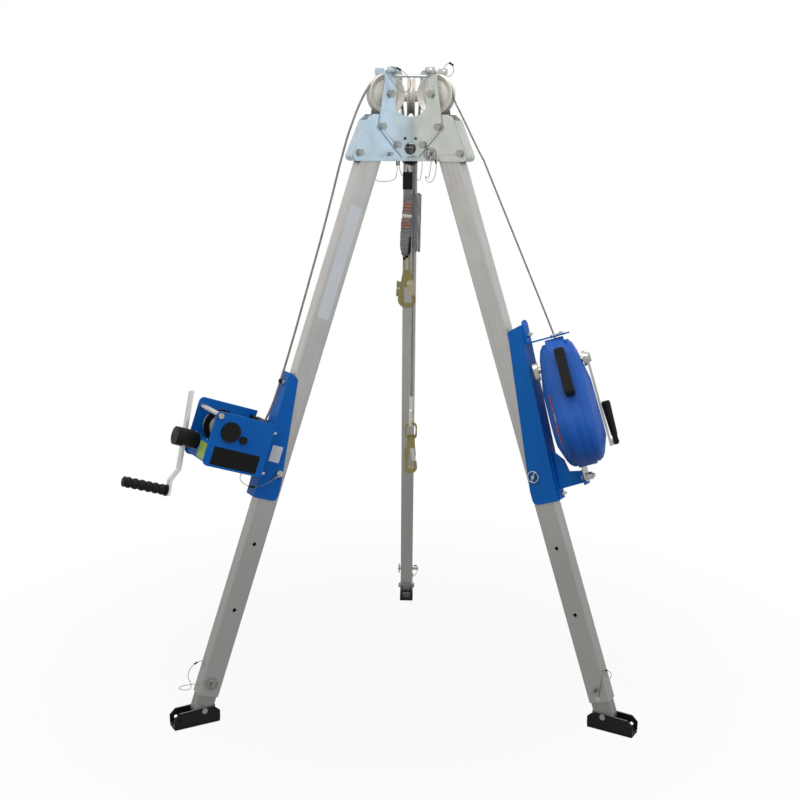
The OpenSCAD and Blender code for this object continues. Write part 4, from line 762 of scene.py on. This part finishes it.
def add_absorber():
    """The sewn pack with a band of tape and two groups of stitches."""
    top, bottom = PACK_RINGS[0][0], PACK_RINGS[-1][0]
    heights = [top - i * (top - bottom) / PACK_LEVELS for i in range(PACK_LEVELS + 1)]
    skin = loft([pack_ring(z, pack_shape(z)) for z in heights])
    pack = add_piece("absorber", skin, WEB, "head", PACK_CREASE)
    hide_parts("absorber_pack")
    tape = [(1348.8, -0.6), (1348, 0.5), (1344, 0.6), (1340, 0.5), (1339.2, -0.6)]
    skin = loft([pack_ring(z, (-0.5, 13.9, 13.9), proud, -0.12) for z, proud in tape])
    add_piece("absorber_tape", skin, CREAM, "head")
    groups = ((-0.4, 10.4, (1377.3, 1370, 1361.5)), (-4.8, 9.8, (1330, 1321.5, 1313)))
    for group, (middle_x, half_x, rows) in enumerate(groups):
        for row, z in enumerate(rows):
            add_stitches(f"stitch_{group}_{row}", middle_x, half_x, z)
    return pack


STITCH_D, STITCH_HALF, STITCH_PROUD = 0.0027, 1.8, 0.3


def add_stitches(name, middle_x, half_x, z, count=10):
    """A row of bar stitches on the pack's front: one low ridge that runs to and fro."""
    face_y = -pack_shape(z)[2] - STITCH_PROUD
    points = []
    for i in range(2 * count + 1):
        x = middle_x - half_x + i * half_x / count
        points.append(in_lanyard(x, face_y, z + (STITCH_HALF if i % 2 else -STITCH_HALF)))
    add_piece(name, rope_skin(points, STITCH_D, strands=2, lay=6, sides=8), THREAD, "head")


def strap_section(edge, flat):
    """A strap's cross section with soft corners, as shares of its half thickness and half width."""
    return [(1, edge), (flat, 1), (-flat, 1), (-1, edge), (-1, -edge), (-flat, -1), (flat, -1), (1, -edge)]


def strap_skin(points, half_thick, half_width, section, run, wide):
    """A flat strap along points (way along run, height) in the lanyard's frame, its width along wide; mm."""
    run, wide, up = Vector(run), Vector(wide), Vector(UP)
    rings = []
    for i, (x, z) in enumerate(points):
        ahead, behind = points[min(i + 1, len(points) - 1)], points[max(i - 1, 0)]
        along = Vector((ahead[0] - behind[0], ahead[1] - behind[1])).normalized()
        across = along.y * run - along.x * up
        middle = x * run + z * up
        rings.append([in_lanyard(*(middle + a * half_thick * across + b * half_width * wide))
                      for a, b in section])
    return loft(rings)


WEB_LEAN = 0.012
WEB_HALF_THICK, WEB_HALF_WIDTH = 1.8, 12


def web_points():
    """The way of the webbing (x, z): six strands folded to and fro, from the pack's side."""
    high, first, pitch, strands = 1403, 16.2, 4, 6
    lows = (1263, 1252, 1251)
    strand_steps, bend_steps = 24, 8
    points = [(9.5, high - 2), (12, high - 2), (14.2, high - 2.3), (15.8, high - 4)]
    for i in range(strands):
        x = first + i * pitch
        low = lows[i // 2]
        downward = i % 2 == 0
        start, end = (high - 7 if i == 0 else high, low) if downward else (low, high)
        for step in range(strand_steps + 1):
            share = step / strand_steps
            z = start + (end - start) * share
            points.append((x + 0.25 * math.sin(z * 0.11 + i) * math.sin(math.pi * share), z))
        if i < strands - 1:
            for step in range(1, bend_steps):
                angle = math.pi * step / bend_steps
                turn = math.sin(angle) * pitch / 2
                middle = x + pitch / 2
                points.append((middle - math.cos(angle) * pitch / 2, end - turn if downward else end + turn))
    return [(x + WEB_LEAN * (z - high), z) for x, z in points]


def add_webbing(pack):
    """The spare webbing, folded beside the pack."""
    points = web_points()
    skin = strap_skin(points, WEB_HALF_THICK, WEB_HALF_WIDTH, strap_section(0.93, 0.7), OUT, ACROSS)
    webbing = add_piece("webbing", skin, STRAP, "head", STRAP_CREASE)
    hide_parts("absorber_pack")


def add_absorber_loop():
    """The black strap loop at the pack's bottom, round the hook's eye bar."""
    middle_z, radius, steps = 1238, 7.0, 16
    half_thick, half_width = 1.2, 4.2
    angles = [math.pi * i / steps for i in range(steps + 1)]
    bend = [(-radius * math.cos(angle), middle_z - radius * math.sin(angle)) for angle in angles]
    points = [(-5.6, 1253), (-6.4, 1248), (-6.9, 1243), *bend, (6.9, 1243), (6.4, 1248), (5.6, 1253)]
    skin = strap_skin(points, half_thick, half_width, strap_section(0.9, 0.6), ACROSS, OUT)
    loop = add_piece("absorber_loop", skin, BLACK, "head", STRAP_CREASE)
    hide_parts("absorber_pack")


def add_hook_bars():
    """Bright raised bars on the hook's gate and on its back block; sizes in mm."""
    corner, thickness, edge = 1.2, 0.0016, 0.0006
    for name, body, place, size, turn in (
            ("gate_bar", "lanyard_gate", (8.2, -9.0, 1161), (15, 3.4, corner), 0.12),
            ("block_bar", "lanyard_hook", (-22.6, -8.0, 1147), (11, 3.6, corner), -0.04)):
        across = Vector((math.cos(turn), 0, math.sin(turn)))
        matrix = facing(in_lanyard(*place), across, Vector(UP))
        outline = round_outline(*[c / 1000 for c in size])
        plate_piece(name, outline, thickness, matrix, ZINC, body, edge)


def add_eye_sleeve():
    """A black sleeve on the left side of the hook's eye; mm."""
    bar_x, bar_wide, bar_deep, corner = -7.15, 5, 12, 1.2
    rings = []
    for z, grow in ((1234, 0.8), (1233, 1.4), (1226, 1.4), (1225, 0.8)):
        ring = round_outline(bar_wide + 2 * grow, bar_deep + 2 * grow, corner)
        rings.append([in_lanyard(bar_x + x, y, z) for x, y in ring])
    add_piece("eye_sleeve", loft(rings), BLACK, "lanyard_hook", CREASE)


def add_painted_shadow_sheet():
    """A black sheet on the lower right of the pack's front, a painted shadow between the pack and the
    webbing; mm.
    """
    outline = [(5.5, 1283), (8.5, 1291), (11.0, 1288), (11.0, 1250), (8.5, 1243.5), (2.5, 1242), (3.5, 1262)]
    rings = [[in_lanyard(x, y, z) for x, z in outline] for y in (-13.0, -15.3, -15.6)]
    add_piece("absorber_painted_shadow", loft(rings), BLACK, "head", CREASE)


add_webbing(add_absorber())
add_absorber_loop()
add_hook_bars()
add_eye_sleeve()
add_painted_shadow_sheet()


def add_rope_eye():
    """The eye of the winch rope above its sleeve: two flat zinc strips that meet at the top; mm."""
    low_z, top_z, front_y, corner = 1459, 1484, -4.5, 0.0015
    thickness, edge = 0.0014, 0.0003
    for name, top_x, low_x, width in (("rope_eye_left", -1.5, -6.6, 4.2), ("rope_eye_right", 2.5, 7.2, 7.0)):
        low = in_lanyard(low_x, front_y, low_z)
        top = in_lanyard(top_x, front_y, top_z)
        along = (top - low).normalized()
        matrix = facing((low + top) / 2, along.cross(Vector(ACROSS)), along)
        outline = round_outline(width / 1000, (top - low).length, corner)
        plate_piece(name, outline, thickness, matrix, ZINC, "head", edge)


add_rope_eye()


# Finishes of single faces
INSIDE_R, INSIDE_TOP = 0.09, 1.60
SHOE_EDGE_Z = 0.04
TO_RIGHT_LEG, TO_LEFT_LEG = leg_frame("right").inverted(), leg_frame("left").inverted()
CASE_LUG_TOP = 0.7115
BUSH_N, BUSH_R, GUIDE_S, GUIDE_HALF = 0.1495, 0.0112, 1.060, 0.0021
CAP_N, CAP_S = (0.0585, 0.0675), (0.94, 0.965)


def look_where(name, finish, test):
    """Another finish on those faces of a node that pass the test."""
    data = nodes[name].data
    data.materials.append(finish.material)
    for polygon in data.polygons:
        if test(polygon):
            polygon.material_index = len(data.materials) - 1


def is_inside_head(polygon):
    """Inner faces of the head's plates, near its axis and below the sheaves, which get a painted shade."""
    outward = Vector((polygon.center.x - AXIS.x, polygon.center.y - AXIS.y, 0))
    faces_in = polygon.normal.dot(outward) < -0.0004
    return faces_in and outward.length < INSIDE_R and polygon.center.z < INSIDE_TOP


def is_shoe_edge(polygon):
    """Upper edges of a shoe's cheeks, which get a painted highlight."""
    return polygon.material_index == 0 and polygon.normal.z > 0.3 and polygon.center.z > SHOE_EDGE_Z


def is_case_lug(polygon):
    """The lug under the casing."""
    return (TO_RIGHT_LEG @ polygon.center).z < CASE_LUG_TOP


def is_guide_bush(polygon):
    """The bush in the guide's hole, where it stands proud of the plate."""
    place = TO_RIGHT_LEG @ polygon.center
    return math.hypot(place.x - BUSH_N, place.y) < BUSH_R and abs(place.z - GUIDE_S) > GUIDE_HALF


def is_post_cap(polygon):
    """The cap of the post at the upper end of the winch's bracket."""
    place = TO_LEFT_LEG @ polygon.center
    return CAP_N[0] < place.x < CAP_N[1] and CAP_S[0] < place.z < CAP_S[1]


look_where("head_plates", PAINTED_SHADE_INSIDE, is_inside_head)
for side in SIDES:
    look_where("foot_shoe_" + side, SHOE_EDGE_HIGHLIGHT, is_shoe_edge)
look_where("block_case_back", CAST, is_case_lug)
look_where("block_guide", STEEL, is_guide_bush)
look_where("winch_hardware", BLACK, is_post_cap)


# A plain colour band on the block's casing
RED = paint_finish("band_red", (0.42, 0.035, 0.022), (0.34, 0.03, 0.02), 0.4, 1200, 0.00005)
GREY = paint_finish("band_grey", (0.34, 0.33, 0.36), (0.28, 0.27, 0.30), 0.4, 1200, 0.00005)
CASE_TOP_R, CASE_LOW_R, CASE_SPAN = 50, 108, 185
CASE_LOW_S, BULGE_S = 820, 828
CASE_LEAN = math.asin((CASE_LOW_R - CASE_TOP_R) / CASE_SPAN)
BAND_STEPS = 12
BAND_BACK, BAND_FRONT = -0.0003, 0.0005


def case_edge(run):
    """A point (y, s) of the casing's outline on its handle side; run is in mm down from the upper tangent."""
    straight = CASE_SPAN * math.cos(CASE_LEAN)
    if run < straight:
        share = run / straight
        radius = CASE_TOP_R + (CASE_LOW_R - CASE_TOP_R) * share
        middle_s = CASE_LOW_S + CASE_SPAN * (1 - share)
        return -radius * math.cos(CASE_LEAN), middle_s + radius * math.sin(CASE_LEAN)
    angle = math.pi - CASE_LEAN + (run - straight) / CASE_LOW_R
    return CASE_LOW_R * math.cos(angle), CASE_LOW_S + CASE_LOW_R * math.sin(angle)


def case_point(run, x, draw):
    """A point of the casing at x outward, with its outline drawn in about the bulge's middle."""
    y, s = case_edge(run)
    return BLOCK @ Vector((x / 1000, y * draw / 1000, (BULGE_S + (s - BULGE_S) * draw) / 1000))


def add_band():
    """Three plain fields of colour along the back shell's bevel."""
    out = (BLOCK.to_3x3() @ Vector((-0.7, -0.6, 0))).normalized()
    for name, first, last, finish in (("band_high", 92, 146, RED), ("band_middle", 149, 176, GREY),
                                      ("band_low", 179, 240, RED)):
        rings = []
        for i in range(BAND_STEPS + 1):
            run = first + (last - first) * i / BAND_STEPS
            near, far = case_point(run, -44.4, 0.8935), case_point(run, -47.6, 0.842)
            rings.append([near + BAND_BACK * out, far + BAND_BACK * out, far + BAND_FRONT * out,
                          near + BAND_FRONT * out])
        add_piece(name, loft(rings), finish, "leg_right", CREASE)


add_band()


# Floor, light and backdrop
FRONT_IN_GLOSS, FLOOR_IN_GLOSS = 0.6, 0.5
WHITE = (1, 1, 1, 1)
WARM, COOL = (1.06, 0.99, 0.89, 1), (0.88, 0.97, 1.09, 1)


def combine(tree, operation, value, other):
    """A maths node: value with another value or with a number."""
    node = tree.nodes.new("ShaderNodeMath")
    node.operation = operation
    tree.links.new(value, node.inputs[0])
    if isinstance(other, float):
        node.inputs[1].default_value = other
    else:
        tree.links.new(other, node.inputs[1])
    return node.outputs[0]


def mix_shaders(tree, factor, first, second):
    mix = tree.nodes.new("ShaderNodeMixShader")
    tree.links.new(factor, mix.inputs["Fac"])
    tree.links.new(first.outputs[0], mix.inputs[1])
    tree.links.new(second.outputs[0], mix.inputs[2])
    return mix.outputs[0]


def sees_backdrop(tree, in_gloss=1.0):
    """1 for camera rays and rays through clear matter, and the given share for rays off gloss."""
    rays = tree.nodes.new("ShaderNodeLightPath").outputs
    gloss = combine(tree, "MULTIPLY", rays["Is Glossy Ray"], in_gloss)
    seen = combine(tree, "MAXIMUM", rays["Is Camera Ray"], gloss)
    return combine(tree, "MAXIMUM", seen, rays["Is Transmission Ray"])


def add_world():
    """A bright room, warm left and cool right, and a white backdrop that greys in gloss to the front."""
    world = bpy.data.worlds.new("studio")
    world.use_nodes = True
    scene.world = world
    tree = world.node_tree
    surround = tree.nodes["Background"]
    parts = tree.nodes.new("ShaderNodeSeparateXYZ")
    tree.links.new(tree.nodes.new("ShaderNodeTexCoord").outputs["Generated"], parts.inputs[0])
    tint = tree.nodes.new("ShaderNodeMix")
    tint.data_type = "RGBA"
    tint.inputs["A"].default_value = WARM
    tint.inputs["B"].default_value = COOL
    tree.links.new(map_range(tree, parts.outputs["X"], -0.7, 0.7, 0, 1), tint.inputs["Factor"])
    tree.links.new(tint.outputs["Result"], surround.inputs["Color"])
    tree.links.new(map_range(tree, parts.outputs["Z"], -0.05, 0.45, 0.56, 0.80), surround.inputs["Strength"])
    white = tree.nodes.new("ShaderNodeBackground")
    white.inputs["Color"].default_value = WHITE
    in_gloss = map_range(tree, parts.outputs["Y"], -0.35, 0.9, FRONT_IN_GLOSS, 1.0)
    camera_ray = tree.nodes.new("ShaderNodeLightPath").outputs["Is Camera Ray"]
    tree.links.new(combine(tree, "MAXIMUM", in_gloss, camera_ray), white.inputs["Strength"])
    tree.links.new(mix_shaders(tree, sees_backdrop(tree), surround, white),
                   tree.nodes["World Output"].inputs["Surface"])


def add_lamps():
    """Three soft square lamps aimed at the tripod's middle: place, size, power and colour."""
    middle = Vector((0, 0, 0.9))
    for name, place, size, power, colour in (
            ("right", (2.8, -2.1, 2.3), 3.0, 13, (0.82, 0.93, 1.0)),
            ("left", (-2.8, -2.1, 2.3), 3.0, 9, (1.0, 0.95, 0.87)),
            ("top", (-0.4, -1.6, 3.6), 1.8, 30, (1.0, 1.0, 1.0))):
        data = bpy.data.lights.new(name, "AREA")
        data.size = size
        data.energy = power
        data.color = colour
        lamp = bpy.data.objects.new(name, data)
        scene.collection.objects.link(lamp)
        aim = (middle - Vector(place)).to_track_quat("-Z", "Y")
        lamp.matrix_world = Matrix.Translation(place) @ aim.to_matrix().to_4x4()


def add_floor():
    """A plain pale floor that fades to white with distance."""
    half = 14.0
    corners = [(-half, -half, 0), (half, -half, 0), (half, half, 0), (-half, half, 0)]
    mesh = bpy.data.meshes.new("floor")
    mesh.from_pydata(corners, [], [(0, 1, 2, 3)])
    floor = bpy.data.objects.new("floor", mesh)
    scene.collection.objects.link(floor)
    material = bpy.data.materials.new("floor_white")
    material.use_nodes = True
    tree = material.node_tree
    shader = tree.nodes["Principled BSDF"]
    shader.inputs["Base Color"].default_value = (0.10, 0.10, 0.095, 1)
    shader.inputs["Roughness"].default_value = 0.9
    glow = tree.nodes.new("ShaderNodeEmission")
    glow.inputs["Color"].default_value = WHITE
    distance = tree.nodes.new("ShaderNodeVectorMath")
    distance.operation = "LENGTH"
    tree.links.new(tree.nodes.new("ShaderNodeTexCoord").outputs["Object"], distance.inputs[0])
    fade = map_range(tree, distance.outputs["Value"], 0.5, 1.5, 0.94, 1.0)
    seen = combine(tree, "MULTIPLY", fade, sees_backdrop(tree, FLOOR_IN_GLOSS))
    tree.links.new(mix_shaders(tree, seen, shader, glow), tree.nodes["Material Output"].inputs["Surface"])
    mesh.materials.append(material)


add_world()
add_lamps()
add_floor()
scene.view_settings.view_transform = "Standard"
